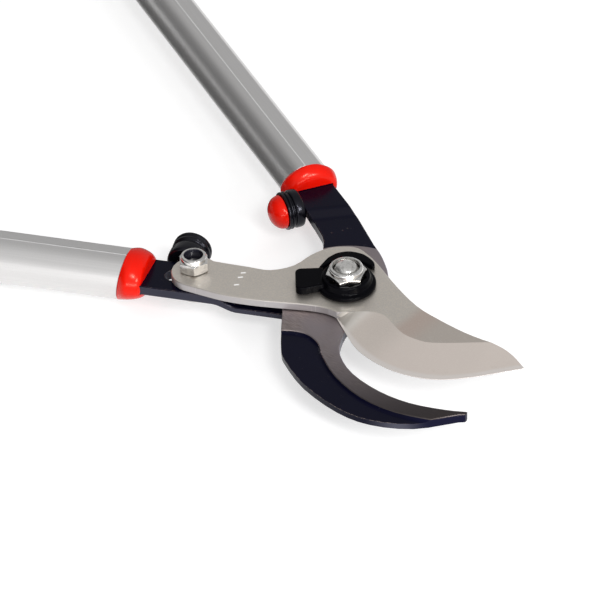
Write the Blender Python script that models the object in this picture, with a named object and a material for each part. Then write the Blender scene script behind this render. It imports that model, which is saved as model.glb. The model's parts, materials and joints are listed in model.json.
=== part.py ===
"""Bypass lopper, built as its separate pieces in two levers that turn on one pivot.

The tool lies flat: +X runs from the handles to the tips, +Z along the pivot,
and the origin is the middle of the flat underside of the pivot bolt's head.
The blade lever carries the blade, its arm, the bolts and one handle. The hook
lever carries the hook, which is forged in one with its arm, and the other handle.
"""

from collections import namedtuple
from math import cos, hypot, pi, radians, sin, tan

import bmesh
import bpy
from mathutils import Matrix, Vector

# Sizes are in millimetres, angles in degrees; every mesh is made in metres
MM = 0.001

# Clearance between pieces that touch, and the broken edge of the steel plates
GAP = 0.3
EDGE_BREAK = 0.35

# Pivot stack, from the bolt's head up
PIVOT_HEAD_THICKNESS = 5.5
PIVOT_HEAD_FLATS = 19.0
PIVOT_BOLT_DIAMETER = 11.6
PIVOT_BOLT_DOME = 1.6
ARM_NECK_THICKNESS = 3.1
HOOK_THICKNESS = 4.9
BLADE_THICKNESS = 4.0
BUSH_WALL = 1.5
PIVOT_WASHER_THICKNESS = 1.5
PIVOT_WASHER_DIAMETER = 16.2
PIVOT_NUT_FLATS = 17.0
PIVOT_NUT_HEX_HEIGHT = 6.6
PIVOT_NUT_RING_HEIGHT = 2.5
PIVOT_NUT_RING_DIAMETER = 16.2
PIVOT_NUT_TURN = 10.0

# Lock plate on the pivot nut: places are seen from the pivot, X towards the tab, and the
# crescent's outline is given as a direction and a distance outside the disc
LOCK_TAB_ANGLE = 221.5
LOCK_DISC_DIAMETER = 28.0
LOCK_DISC_THICKNESS = 2.0
LOCK_HUB_HEIGHT = 4.6
LOCK_HUB_WALL = 0.7
LOCK_HUB_SLOPE = 1.4
LOCK_TAB_REACH = 24.0
LOCK_TAB_FROM = -9.0
LOCK_TAB_TO = 6.8
LOCK_TAB_CORNER = 2.2
LOCK_TAB_THICKNESS = 3.9
LOCK_TAB_BEVEL = 0.6
LOCK_SLOT_WIDTH = 1.3
LOCK_CRESCENT_THICKNESS = 2.3
LOCK_CRESCENT_BEVEL = 0.4
LOCK_CRESCENT = [(331.1, 2.6), (322.9, 2.6), (311.2, 3.3), (297.4, 4.7), (283.4, 6.3),
                 (266.8, 7.7), (250.8, 7.6), (237.6, 6.5), (225.9, 5.0), (223.0, 2.4)]

# Blade: tail bolt's place, and the points that its outline runs through
TAIL_BOLT_X = -65.2
TAIL_BOLT_Y = -34.6
TAIL_CENTRE = (-63.3, -35.8)
TAIL_RADIUS = 11.6
TAIL_BOLT_DIAMETER = 8.0
TAIL_BOLT_RECESS = 3.0
TAIL_HEAD_DIAMETER = 14.4
TAIL_HEAD_THICKNESS = 4.8
TAIL_NUT_FLATS = 13.0
TAIL_NUT_TURN = 12.0
TAIL_NUT_HEX_HEIGHT = 5.4
TAIL_NUT_RING_HEIGHT = 2.4
TAIL_NUT_RING_DIAMETER = 12.4
EDGE_LAND = 0.3
BEVEL_HOLLOW = 0.22
CUTTING_EDGE = [(9.5, -18.9), (20.1, -25.0), (32.0, -31.1), (45.6, -33.4),
                (58.5, -32.4), (72.0, -27.3), (84.0, -16.8), (101.1, 5.6)]
BEVEL_RIDGE = [(9.5, -18.9), (13.6, -15.6), (18.0, -11.6), (22.8, -8.3), (28.5, -7.0),
               (35.5, -9.4), (43.6, -12.2), (51.6, -11.9), (60.0, -8.6), (79.9, 7.7)]
NOSE = [(79.9, 7.7), (86.2, 8.7), (92.5, 8.2), (101.1, 5.6)]
SPINE = [(79.9, 7.7), (66.0, 6.2), (50.0, 6.5), (36.0, 8.1), (19.0, 14.0), (0.1, 22.4),
         (-9.0, 25.3), (-14.6, 25.9), (-20.0, 23.2), (-25.6, 17.2), (-28.7, 8.0),
         (-29.7, -3.4), (-36.0, -13.0), (-45.5, -17.4), (-56.0, -22.0)]
FRONT_EDGE = [(-54.0, -45.4), (-41.0, -41.8), (-28.6, -36.4), (-16.8, -29.9), (-7.0, -24.2),
              (0.0, -20.7), (5.2, -19.1), (9.5, -18.9)]

# Hook: the outline past the arm, and the ridge round its recessed outer flank
HOOK_RECESS = 1.6
HOOK_RECESS_SLOPE = 1.5
HOOK_TIP = (97.9, -36.2)
HOOK_TIP_RADIUS = 1.9
HOOK_INNER = [(99.2, -34.4), (90.4, -39.4), (75.0, -45.5), (58.5, -47.5), (40.9, -45.1), (28.0, -38.4),
              (21.3, -29.8), (17.4, -19.0), (17.2, -4.0), (15.0, 10.0), (7.3, 22.1), (-4.1, 31.6),
              (-14.0, 37.2)]
HOOK_OUTER = [(-24.0, 12.0), (-23.6, -6.0), (-19.8, -22.0), (-9.8, -35.8), (2.4, -50.6),
              (9.6, -56.0), (27.4, -63.8), (50.0, -67.4), (67.3, -64.9), (84.5, -55.0), (97.6, -38.6)]
HOOK_RIDGE = [(-5.6, -40.6), (0.0, -37.2), (6.5, -35.6), (14.8, -38.0), (22.4, -44.0),
              (36.2, -51.5), (54.9, -56.0), (74.0, -54.5), (94.4, -47.0)]
HOOK_OUTSIDE = [(104, -52), (100, -70), (60, -84), (10, -78), (-22, -52)]

# Levers: the way each handle points, how far its axis passes the pivot, and its collar's rim
BLADE_LEVER_ANGLE = 205.7
BLADE_AXIS_OFFSET = 5.6
BLADE_COLLAR_RIM = 107.2
BLADE_RIM_SLANT = 2.0
HOOK_LEVER_ANGLE = 154.3
HOOK_AXIS_OFFSET = -19.9
HOOK_COLLAR_RIM = 93.3
HOOK_RIM_SLANT = 6.3

# Blade's arm: width, its round end on the pivot, and the step down under the hook
BLADE_ARM_THICKNESS = 5.0
BLADE_ARM_WIDTH = 22.4
BLADE_ARM_BOSS = 33.0
JOG_START = 50.0
JOG_LENGTH = 11.5
SPARE_HOLE_DIAMETER = 8.0
SPARE_HOLE_X = -73.2
SPARE_HOLE_Y = -40.9

# Hook's arm: width, how far it lies beside the handle's axis, and its small rise
HOOK_ARM_WIDTH = 20.6
HOOK_ARM_SHIFT = 0.6
HOOK_ARM_RISE = 1.3
HOOK_FLARE = [(46.0, 1.5), (40.5, 3.2), (37.0, 5.1)]
RAMP_START = 54.0
RAMP_LENGTH = 12.0
RAMP_SKEW = 14.5

# Handles
TANG_WIDTH = 16.0
TANG_LENGTH = 42.0
TUBE_WIDTH = 23.8
TUBE_HEIGHT = 26.0
TUBE_WALL = 1.5
TUBE_END = 522.0
TUBE_FLAT_FROM = -32.0
TUBE_FLAT_TO = 9.0
COLLAR_LENGTH = 11.5
COLLAR_SHOULDER = 6.0
COLLAR_LIP = 0.3
COLLAR_BULGE = 2.7
COLLAR_NOSE_WIDTH = 21.0
COLLAR_NOSE_HEIGHT = 12.6
COLLAR_RISE = 0.8
COLLAR_SKEW = 0.8
COLLAR_SPIGOT = 18.0
GRIP_LENGTH = 136.0
GRIP_WALL = 2.6
GRIP_END_WALL = 5.0
GRIP_FLANGE_DIAMETER = 37.0
GRIP_HEEL_DIAMETER = 35.0
GRIP_RIBS = 5
GRIP_RIBS_START = 26.0
GRIP_RIB_PITCH = 13.0
GRIP_RIB_DEPTH = 1.1

# Bumpers on the inner edges of both arms
BUMPER_DIAMETER = 19.2
BUMPER_NECK_DIAMETER = 8.4
BUMPER_POCKET_DIAMETER = 9.4
BUMPER_FLOOR = 3.0
BUMPER_SCREW_DIAMETER = 3.2
BUMPER_SCREW_DEPTH = 9.0
BUMPER_HEAD_DIAMETER = 7.6
BUMPER_HEAD_THICKNESS = 2.2
DOME_DIAMETER = 16.0
DOME_PEG_LENGTH = 2.6
BLADE_BUMPER_STATION = 81.3
BLADE_BUMPER_NECK = 1.7
BLADE_BUMPER_CUP = 15.6
BLADE_BUMPER_DOME = 5.2
HOOK_BUMPER_STATION = 73.8
HOOK_BUMPER_NECK = 0.4
HOOK_BUMPER_CUP = 9.4
HOOK_BUMPER_DOME = 7.0

# Heights that follow from the stack
NECK_BOTTOM = PIVOT_HEAD_THICKNESS + GAP
NECK_TOP = NECK_BOTTOM + ARM_NECK_THICKNESS
HOOK_BOTTOM = NECK_TOP + GAP
HOOK_TOP = HOOK_BOTTOM + HOOK_THICKNESS
BLADE_BOTTOM = HOOK_TOP + GAP
BLADE_TOP = BLADE_BOTTOM + BLADE_THICKNESS
ARM_TOP = HOOK_TOP
ARM_BOTTOM = ARM_TOP - BLADE_ARM_THICKNESS
NUT_BASE = BLADE_TOP + GAP + PIVOT_WASHER_THICKNESS + GAP
NUT_TOP = NUT_BASE + PIVOT_NUT_HEX_HEIGHT + PIVOT_NUT_RING_HEIGHT

# Numbers of facets
ROUND_SIDES = 32
SMALL_SIDES = 24
GRIP_SIDES = 24
UPRIGHT = Matrix.Rotation(radians(-90), 4, "Y")

Lever = namedtuple("Lever", "name angle offset height rim slant arm_width arm_shift thickness "
                            "side station neck cup dome")
BLADE_LEVER = Lever("blade", BLADE_LEVER_ANGLE, BLADE_AXIS_OFFSET, (ARM_TOP + ARM_BOTTOM) / 2,
                    BLADE_COLLAR_RIM, BLADE_RIM_SLANT, BLADE_ARM_WIDTH, 0.0, BLADE_ARM_THICKNESS,
                    -1, BLADE_BUMPER_STATION, BLADE_BUMPER_NECK, BLADE_BUMPER_CUP, BLADE_BUMPER_DOME)
HOOK_LEVER = Lever("hook", HOOK_LEVER_ANGLE, HOOK_AXIS_OFFSET,
                   (HOOK_TOP + HOOK_BOTTOM) / 2 + HOOK_ARM_RISE,
                   HOOK_COLLAR_RIM, HOOK_RIM_SLANT, HOOK_ARM_WIDTH, HOOK_ARM_SHIFT, HOOK_THICKNESS,
                   1, HOOK_BUMPER_STATION, HOOK_BUMPER_NECK, HOOK_BUMPER_CUP, HOOK_BUMPER_DOME)


def clear_scene():
    """Remove every object that the scene starts with."""
    for item in list(bpy.data.objects):
        bpy.data.objects.remove(item, do_unlink=True)


def material(name, colour, roughness, metallic):
    """A plain material with the piece's colour and finish."""
    made = bpy.data.materials.new(name)
    made.use_nodes = True
    shader = made.node_tree.nodes["Principled BSDF"]
    shader.inputs["Base Color"].default_value = (*colour, 1.0)
    shader.inputs["Roughness"].default_value = roughness
    shader.inputs["Metallic"].default_value = metallic
    return made


def finish(name, bm, look, parent=None, matrix=None):
    """Turn a mesh in millimetres into a named object in metres."""
    bmesh.ops.remove_doubles(bm, verts=bm.verts, dist=0.001)
    bmesh.ops.recalc_face_normals(bm, faces=bm.faces)
    bmesh.ops.scale(bm, vec=(MM, MM, MM), verts=bm.verts)
    mesh = bpy.data.meshes.new(name)
    bm.to_mesh(mesh)
    bm.free()
    mesh.shade_smooth()
    mesh.set_sharp_from_angle(angle=radians(32))
    made = bpy.data.objects.new(name, mesh)
    bpy.context.collection.objects.link(made)
    if look:
        mesh.materials.append(look)
    if parent:
        made.parent = parent
    if matrix:
        place = matrix.copy()
        place.translation = matrix.translation * MM
        made.matrix_local = place
    return made


def axis_empty(name):
    """An empty on the pivot's axis that carries one lever's pieces."""
    made = bpy.data.objects.new(name, None)
    bpy.context.collection.objects.link(made)
    return made


def combine(body, other, operation):
    """Cut, join or intersect a body with another, which becomes a hidden guide."""
    other.hide_render = True
    other.display_type = "WIRE"
    step = body.modifiers.new(other.name, "BOOLEAN")
    step.operation = operation
    step.object = other
    step.solver = "EXACT"


def arc(centre, radius, start, end, steps):
    """Points along an arc, angles in degrees."""
    turns = [radians(start + (end - start) * i / steps) for i in range(steps + 1)]
    return [(centre[0] + radius * cos(a), centre[1] + radius * sin(a)) for a in turns]


def curve(points, steps=3):
    """A smooth curve through the points, with some steps between neighbours."""
    first = (2 * points[0][0] - points[1][0], 2 * points[0][1] - points[1][1])
    last = (2 * points[-1][0] - points[-2][0], 2 * points[-1][1] - points[-2][1])
    run = [first] + list(points) + [last]
    made = []
    for a, b, c, d in zip(run, run[1:], run[2:], run[3:]):
        for i in range(steps):
            t = i / steps
            made.append(tuple(0.5 * (2 * b[k] + (c[k] - a[k]) * t
                                     + (2 * a[k] - 5 * b[k] + 4 * c[k] - d[k]) * t * t
                                     + (3 * b[k] - a[k] - 3 * c[k] + d[k]) * t ** 3)
                              for k in range(2)))
    made.append(tuple(points[-1]))
    return made


def spaced(points, steps):
    """The same run of points divided into equal steps along its length."""
    lengths = [hypot(b[0] - a[0], b[1] - a[1]) for a, b in zip(points, points[1:])]
    total = sum(lengths)
    made = [points[0]]
    walked = 0.0
    index = 0
    for i in range(1, steps):
        target = total * i / steps
        while walked + lengths[index] < target:
            walked += lengths[index]
            index += 1
        t = (target - walked) / lengths[index]
        a, b = points[index], points[index + 1]
        made.append((a[0] + (b[0] - a[0]) * t, a[1] + (b[1] - a[1]) * t))
    return made + [points[-1]]


def inset(outline, width):
    """The outline moved inwards by a small width; it runs anticlockwise."""
    made = []
    count = len(outline)
    for i, point in enumerate(outline):
        before, after = outline[i - 1], outline[(i + 1) % count]
        first = Vector((point[0] - before[0], point[1] - before[1])).normalized()
        second = Vector((after[0] - point[0], after[1] - point[1])).normalized()
        inward = Vector((-first.y - second.y, first.x + second.x)).normalized()
        slant = max(0.5, inward.dot(Vector((-first.y, first.x))))
        made.append((point[0] + inward.x * width / slant, point[1] + inward.y * width / slant))
    return made


def at_height(outline, height):
    """A plan outline set at one height."""
    return [(x, y, height) for x, y in outline]


def stacked(bm, loops, splits=()):
    """Join loops of equal count into a closed wall with a cap at each end."""
    rings = [[bm.verts.new(point) for point in loop] for loop in loops]
    count = len(rings[0])
    for lower, upper in zip(rings, rings[1:]):
        for i in range(count):
            j = (i + 1) % count
            bm.faces.new((lower[i], lower[j], upper[j], upper[i]))
    for ring in (rings[0], rings[-1]):
        bm.faces.new(ring)
        for a, b in splits:
            shared = set(ring[a].link_faces) & set(ring[b].link_faces)
            whole = max(shared, key=lambda face: len(face.verts))
            bmesh.utils.face_split(whole, ring[a], ring[b])


def slab(name, outline, bottom, top, bevel, matrix):
    """A flat form for joining on, with its upper edge bevelled."""
    bm = bmesh.new()
    small = inset(outline, bevel)
    stacked(bm, [at_height(outline, bottom), at_height(outline, top - bevel), at_height(small, top)])
    return finish(name, bm, None, None, matrix)


def cranked(name, points, heights, splits, look, parent):
    """A plate whose heights change along it: points hold x, y and the share of the rise."""
    low_bottom, low_top, high_bottom, high_top = heights
    outline = [(x, y) for x, y, share in points]
    small = inset(outline, EDGE_BREAK)
    bottom = [low_bottom + (high_bottom - low_bottom) * p[2] for p in points]
    top = [low_top + (high_top - low_top) * p[2] for p in points]
    bm = bmesh.new()
    stacked(bm, [[(x, y, z) for (x, y), z in zip(small, bottom)],
                 [(x, y, z + EDGE_BREAK) for (x, y), z in zip(outline, bottom)],
                 [(x, y, z - EDGE_BREAK) for (x, y), z in zip(outline, top)],
                 [(x, y, z) for (x, y), z in zip(small, top)]], splits)
    return finish(name, bm, look, parent)


def turned(name, profile, sides, look, parent=None, matrix=None, ring=False):
    """A piece turned about its own X axis from points of distance and radius.

    A ring's profile closes on itself; any other is capped where it ends off the axis.
    """
    bm = bmesh.new()
    rows = []
    for x, radius in profile:
        if radius < 0.001:
            rows.append([bm.verts.new((x, 0, 0))] * sides)
        else:
            turns = [2 * pi * i / sides for i in range(sides)]
            rows.append([bm.verts.new((x, radius * cos(a), radius * sin(a))) for a in turns])
    pairs = list(zip(rows, rows[1:]))
    if ring:
        pairs.append((rows[-1], rows[0]))
    for a, b in pairs:
        for i in range(sides):
            j = (i + 1) % sides
            corners = list(dict.fromkeys((a[i], a[j], b[j], b[i])))
            bm.faces.new(corners)
    if not ring:
        for row, point in ((rows[0], profile[0]), (rows[-1], profile[-1])):
            if point[1] >= 0.001:
                bm.faces.new(row)
    return finish(name, bm, look, parent, matrix)


def oval(x, half_width, half_height, sides, rise=0.0, lean=(0.0, 0.0)):
    """An oval ring across the X axis, which may be raised, or lean along X with Y and Z."""
    made = []
    for i in range(sides):
        a = 2 * pi * i / sides
        y = half_width * cos(a)
        z = half_height * sin(a)
        made.append((x + lean[0] * y + lean[1] * z, y, z + rise))
    return made


def pin(name, x, y, diameter, bottom, top, sides=SMALL_SIDES):
    """An upright cylinder for cutting a hole."""
    place = Matrix.Translation((x, y, 0)) @ UPRIGHT
    return turned(name, [(bottom, diameter / 2), (top, diameter / 2)], sides, None, None, place)


def box(name, x0, x1, y0, y1, z0, z1, matrix):
    """A plain box for cutting a slot."""
    bm = bmesh.new()
    loop = [(x0, y0), (x1, y0), (x1, y1), (x0, y1)]
    stacked(bm, [at_height(loop, z) for z in (z0, z1)])
    return finish(name, bm, None, None, matrix)


def drill(body, name, x, y, diameter):
    """An upright hole through any of the steel plates."""
    combine(body, pin(name, x, y, diameter, NECK_BOTTOM - 1, BLADE_TOP + 1), "DIFFERENCE")


def hexagon(name, flats, bottom, top, look, parent, x, y, turn=0.0):
    """A six-sided prism whose corners are chamfered at both ends."""
    corner = flats / 2 / cos(pi / 6)
    bm = bmesh.new()
    loop = arc((x, y), corner, turn, turn + 300, 5)
    stacked(bm, [at_height(loop, z) for z in (bottom, top)])
    body = finish(name, bm, look, parent)
    flank = flats / 2 * 0.97
    wide = corner + 0.5
    fall = (wide - flank) * tan(radians(30))
    profile = [(top, flank), (top - fall, wide), (bottom + fall, wide), (bottom, flank)]
    barrel = turned(name + "_chamfer", profile, ROUND_SIDES, None, None,
                    Matrix.Translation((x, y, 0)) @ UPRIGHT)
    combine(body, barrel, "INTERSECT")
    return body


def lever_matrix(lever):
    """The frame of a handle: X outwards along its axis, Y to its left, Z up."""
    place = Matrix.Translation((0, lever.offset, lever.height))
    return Matrix.Rotation(radians(lever.angle), 4, "Z") @ place


def on_lever(lever, along, across):
    """A plan point given along a handle's axis and to the left of that axis."""
    a = radians(lever.angle)
    left = lever.offset + across
    return (along * cos(a) - left * sin(a), along * sin(a) + left * cos(a))


def tang_points(lever):
    """The tang in the tube, from the arm's right side round its end to the left side."""
    slim = TANG_WIDTH / 2
    right = lever.arm_shift - lever.arm_width / 2
    left = lever.arm_shift + lever.arm_width / 2
    shoulder = lever.rim - COLLAR_SHOULDER
    end = lever.rim + TANG_LENGTH
    run = [(shoulder, right), (shoulder, -slim), (end, -slim),
           (end, slim), (shoulder, slim), (shoulder, left)]
    return [(*on_lever(lever, s, n), 1.0) for s, n in run]


def step_edges(lever, start, length, steps, slant=0.0):
    """Both edges of an arm along its step, each point with its share of the rise."""
    edges = []
    for side in (1, -1):
        edge = []
        for i in range(steps + 1):
            t = i / steps
            s = start + length * t + side * slant
            n = lever.arm_shift + side * lever.arm_width / 2
            edge.append((*on_lever(lever, s, n), t * t * (3 - 2 * t)))
        edges.append(edge)
    return edges


def level(points):
    """Plan points of an arm's lower part."""
    return [(x, y, 0.0) for x, y in points]


def make_blade(look, parent):
    """The ground blade: a flat back, a hollow-ground bevel and a round tail."""
    steps, ridge_steps = 34, 27
    edge = spaced(curve(CUTTING_EDGE, 8), steps)
    ridge = spaced(curve(BEVEL_RIDGE, 8), ridge_steps)
    nose = spaced(curve(NOSE, 6), steps - ridge_steps)
    tail = arc(TAIL_CENTRE, TAIL_RADIUS, 82, 282, 14)
    back = curve(SPINE)[1:] + tail + curve(FRONT_EDGE)[:-1]
    low = BLADE_BOTTOM + EDGE_LAND
    rail = at_height(ridge[:-1], BLADE_TOP)
    for i, (x, y) in enumerate(nose):
        rail.append((x, y, BLADE_TOP + (low - BLADE_TOP) * i / (len(nose) - 1)))
    outline = edge + nose[-2:0:-1] + [nose[0]] + back
    small = inset(outline, EDGE_BREAK)
    first = len(edge) + len(nose) - 1

    def side(points, height, nose_share):
        """The back's points at one height, after the nose's at a share of theirs."""
        made = []
        for i in range(len(edge), len(outline)):
            x, y = points[i] if i >= first else outline[i]
            z = height
            if i < first:
                top = rail[2 * len(edge) - 2 - i][2]
                z = low + (top - low) * nose_share
            made.append((x, y, z))
        return made

    middle = []
    for a, b in zip(edge, rail):
        hollow = BEVEL_HOLLOW * min(1.0, (b[2] - low) / BLADE_THICKNESS * 1.5)
        middle.append(((a[0] + b[0]) / 2, (a[1] + b[1]) / 2, max((low + b[2]) / 2 - hollow, low)))
    loops = [at_height(outline[:first], BLADE_BOTTOM) + at_height(small[first:], BLADE_BOTTOM),
             at_height(edge, low) + side(outline, low, 0.0),
             middle + side(outline, BLADE_TOP - EDGE_BREAK, 0.5),
             rail + side(small, BLADE_TOP, 1.0)]
    bm = bmesh.new()
    rings = [[bm.verts.new(point) for point in loop] for loop in loops]
    count = len(outline)
    for lower, upper in zip(rings, rings[1:]):
        for i in range(count):
            j = (i + 1) % count
            bm.faces.new((lower[i], lower[j], upper[j], upper[i]))
    bm.faces.new(rings[0])
    bm.faces.new(rings[-1][:ridge_steps + 1] + rings[-1][first:])
    body = finish("cutting_blade", bm, look, parent)
    drill(body, "blade_pivot_hole", 0, 0, PIVOT_BOLT_DIAMETER + 2 * GAP)
    drill(body, "blade_tail_hole", TAIL_BOLT_X, TAIL_BOLT_Y, TAIL_BOLT_DIAMETER + 2 * GAP)


def make_blade_arm(look, parent):
    """The arm under the blade's tail, cranked down to pass below the hook."""
    lever = BLADE_LEVER
    half = lever.arm_width / 2
    boss = BLADE_ARM_BOSS / 2
    steps = 5
    left, right = step_edges(lever, JOG_START, JOG_LENGTH, steps)
    axis = -lever.offset
    waist = curve([(2.0, axis - boss), (16.0, axis - 13.6), (JOG_START - 14.0, -half)])
    round_end = arc((0, axis), boss, 84, 262, 12)
    points = tang_points(lever)
    points += left[::-1]
    points += level([on_lever(lever, boss, half)])
    points += level([on_lever(lever, s, n) for s, n in round_end + waist])
    points += right
    count = len(points)
    splits = [(6 + steps - i, count - 1 - steps + i) for i in range(steps + 1)]
    heights = (NECK_BOTTOM, NECK_TOP, ARM_BOTTOM, ARM_TOP)
    body = cranked("blade_arm", points, heights, splits, look, parent)
    drill(body, "arm_pivot_hole", 0, 0, PIVOT_BOLT_DIAMETER + 2 * GAP)
    drill(body, "arm_tail_hole", TAIL_BOLT_X, TAIL_BOLT_Y, TAIL_BOLT_DIAMETER + 2 * GAP)
    drill(body, "arm_spare_hole", SPARE_HOLE_X, SPARE_HOLE_Y, SPARE_HOLE_DIAMETER)
    drill_edge(body, lever)


def make_hook(look, parent):
    """The hook and its arm in one forging, with a recessed outer flank."""
    lever = HOOK_LEVER
    half = lever.arm_width / 2
    steps = 4
    left, right = step_edges(lever, RAMP_START, RAMP_LENGTH, steps, tan(radians(RAMP_SKEW)) * half)
    flare = [on_lever(lever, s, half + n) for s, n in HOOK_FLARE]
    tip = arc(HOOK_TIP, HOOK_TIP_RADIUS, -50, 50, 3)
    points = tang_points(lever)
    points += left[::-1]
    points += level(curve(flare + HOOK_OUTER))
    points += level(tip[1:-1])
    points += level(curve(HOOK_INNER))
    points += right
    count = len(points)
    splits = [(6 + steps - i, count - 1 - steps + i) for i in range(steps + 1)]
    heights = (HOOK_BOTTOM, HOOK_TOP, HOOK_BOTTOM + HOOK_ARM_RISE, HOOK_TOP + HOOK_ARM_RISE)
    body = cranked("hook", points, heights, splits, look, parent)
    combine(body, make_flank_cutter(), "DIFFERENCE")
    drill(body, "hook_bore", 0, 0, PIVOT_BOLT_DIAMETER + 2 * GAP + 2 * BUSH_WALL + 2 * GAP)
    drill_edge(body, lever)


def make_flank_cutter():
    """The form that lowers the hook's outer flank, sloped along the ridge."""
    ridge = curve(HOOK_RIDGE)
    top = ridge + HOOK_OUTSIDE
    foot = inset(top[::-1], HOOK_RECESS_SLOPE)[::-1]
    foot = foot[:len(ridge)] + HOOK_OUTSIDE
    above = [(2 * a[0] - b[0], 2 * a[1] - b[1]) for a, b in zip(ridge, foot)] + HOOK_OUTSIDE
    bm = bmesh.new()
    stacked(bm, [at_height(foot, HOOK_TOP - HOOK_RECESS), at_height(above, HOOK_TOP + HOOK_RECESS)])
    return finish("flank_cutter", bm, None)


def bumper_matrix(lever):
    """The frame of a bumper: X away from the arm's inner edge."""
    across = lever.arm_shift + lever.side * lever.arm_width / 2
    edge = Matrix.Translation((lever.station, across, 0))
    return lever_matrix(lever) @ edge @ Matrix.Rotation(radians(90 * lever.side), 4, "Z")


def drill_edge(body, lever):
    """The bumper's screw hole in an arm's inner edge."""
    radius = BUMPER_SCREW_DIAMETER / 2 + GAP
    profile = [(-BUMPER_SCREW_DEPTH - GAP, radius), (1.0, radius)]
    cutter = turned(lever.name + "_screw_hole", profile, SMALL_SIDES, None, None, bumper_matrix(lever))
    combine(body, cutter, "DIFFERENCE")


def make_bumper(lever, looks, parent):
    """A black cup with two lips, its screw, and a red dome plugged into it."""
    place = bumper_matrix(lever)
    r = BUMPER_DIAMETER / 2
    length = lever.cup
    pocket = BUMPER_POCKET_DIAMETER / 2
    bore = BUMPER_SCREW_DIAMETER / 2 + GAP
    neck = GAP + lever.neck
    neck_r = BUMPER_NECK_DIAMETER / 2
    cup = [(GAP, bore), (GAP, neck_r), (neck, neck_r), (neck, r - 1.2), (neck + 1.0, r - 0.1),
           (0.46 * length, r), (0.56 * length, r - 0.3), (0.60 * length, r - 1.0),
           (0.68 * length, r - 1.0), (0.72 * length, r - 0.1), (0.80 * length, r - 0.1),
           (0.84 * length, r - 0.8), (0.90 * length, r), (length, r - 0.2),
           (length, pocket), (BUMPER_FLOOR, pocket), (BUMPER_FLOOR, bore)]
    turned(lever.name + "_bumper_cup", cup, SMALL_SIDES, looks["rubber"], parent, place, ring=True)

    dome_r = DOME_DIAMETER / 2
    base = length + GAP
    peg = pocket - GAP
    dome = [(length - DOME_PEG_LENGTH, 0), (length - DOME_PEG_LENGTH, peg), (base, peg), (base, dome_r)]
    for i in range(1, 7):
        a = radians(90 * i / 7)
        dome.append((base + 0.4 + (lever.dome - 0.4) * sin(a), dome_r * cos(a)))
    dome.append((base + lever.dome, 0))
    turned(lever.name + "_bumper_dome", dome, SMALL_SIDES, looks["red"], parent, place)

    head = BUMPER_FLOOR + GAP
    screw_r = BUMPER_SCREW_DIAMETER / 2
    head_r = BUMPER_HEAD_DIAMETER / 2
    screw = [(-BUMPER_SCREW_DEPTH, 0), (-BUMPER_SCREW_DEPTH, screw_r), (head, screw_r), (head, head_r),
             (head + BUMPER_HEAD_THICKNESS * 0.6, head_r), (head + BUMPER_HEAD_THICKNESS, head_r * 0.7),
             (head + BUMPER_HEAD_THICKNESS, 0)]
    turned(lever.name + "_bumper_screw", screw, SMALL_SIDES, looks["chrome"], parent, place)


def rim_lean(lever):
    """How far the collar's rim leans along the handle for each mm across and up."""
    return (COLLAR_SKEW / (TUBE_WIDTH / 2), -lever.slant / (TUBE_HEIGHT / 2))


def make_collar(lever, look, parent):
    """The red collar: an oval bell, and a spigot in the tube round the tang."""
    name = lever.name + "_collar"
    place = lever_matrix(lever)
    rim = lever.rim
    front = rim - COLLAR_LENGTH
    wide = TUBE_WIDTH / 2
    tall = TUBE_HEIGHT / 2
    skew, slant = rim_lean(lever)
    inside = cos(radians(TUBE_FLAT_TO - TUBE_FLAT_FROM) / 2)
    spigot = [(half - TUBE_WALL) * inside - GAP for half in (wide, tall)]
    end = rim + COLLAR_SPIGOT
    loops = [oval(end, spigot[0] - 0.6, spigot[1] - 0.6, ROUND_SIDES),
             oval(end - 0.8, spigot[0], spigot[1], ROUND_SIDES),
             oval(rim, spigot[0], spigot[1], ROUND_SIDES, 0.0, (skew, slant)),
             oval(rim, wide + COLLAR_LIP, tall + COLLAR_LIP / 2, ROUND_SIDES, 0.0, (skew, slant))]
    nose_width = COLLAR_NOSE_WIDTH / 2
    nose_height = COLLAR_NOSE_HEIGHT / 2
    steps = 8
    for i in range(1, steps + 1):
        a = radians(90 * i / steps)
        share = 1 - sin(a) ** 1.3 if i < steps else 0.0
        swell = sin(min(1.0, 2.2 * (1 - share)) * pi / 2)
        fall = cos(a) ** 0.75 if i < steps else 0.0
        half_width = nose_width + (wide + COLLAR_BULGE * swell - nose_width) * fall
        half_height = nose_height + (tall - COLLAR_RISE * swell - nose_height) * fall
        loops.append(oval(front + share * COLLAR_LENGTH, half_width, half_height, ROUND_SIDES,
                          COLLAR_RISE * swell * fall, (skew, slant * share)))
    bm = bmesh.new()
    stacked(bm, loops)
    body = finish(name, bm, look, parent, place)
    deep = lever.thickness / 2 + GAP
    left = lever.arm_shift + lever.arm_width / 2 + GAP
    right = lever.arm_shift - lever.arm_width / 2 - GAP
    slim = TANG_WIDTH / 2 + GAP
    shoulder = rim - COLLAR_SHOULDER + GAP
    mouth = box(name + "_mouth", front - 5, shoulder, right, left, -deep, deep, place)
    slot = box(name + "_slot", shoulder - 1, end + 5, -slim, slim, -deep, deep, place)
    combine(body, mouth, "DIFFERENCE")
    combine(body, slot, "DIFFERENCE")


def tube_section(wall):
    """The tube's section, oval with one flat along its upper side, at a depth in its wall."""
    made = []
    for i in range(ROUND_SIDES):
        a = radians(TUBE_FLAT_TO + (360 - TUBE_FLAT_TO + TUBE_FLAT_FROM) * i / (ROUND_SIDES - 1))
        made.append(((TUBE_WIDTH / 2 - wall) * sin(a), (TUBE_HEIGHT / 2 - wall) * cos(a)))
    return made


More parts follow.
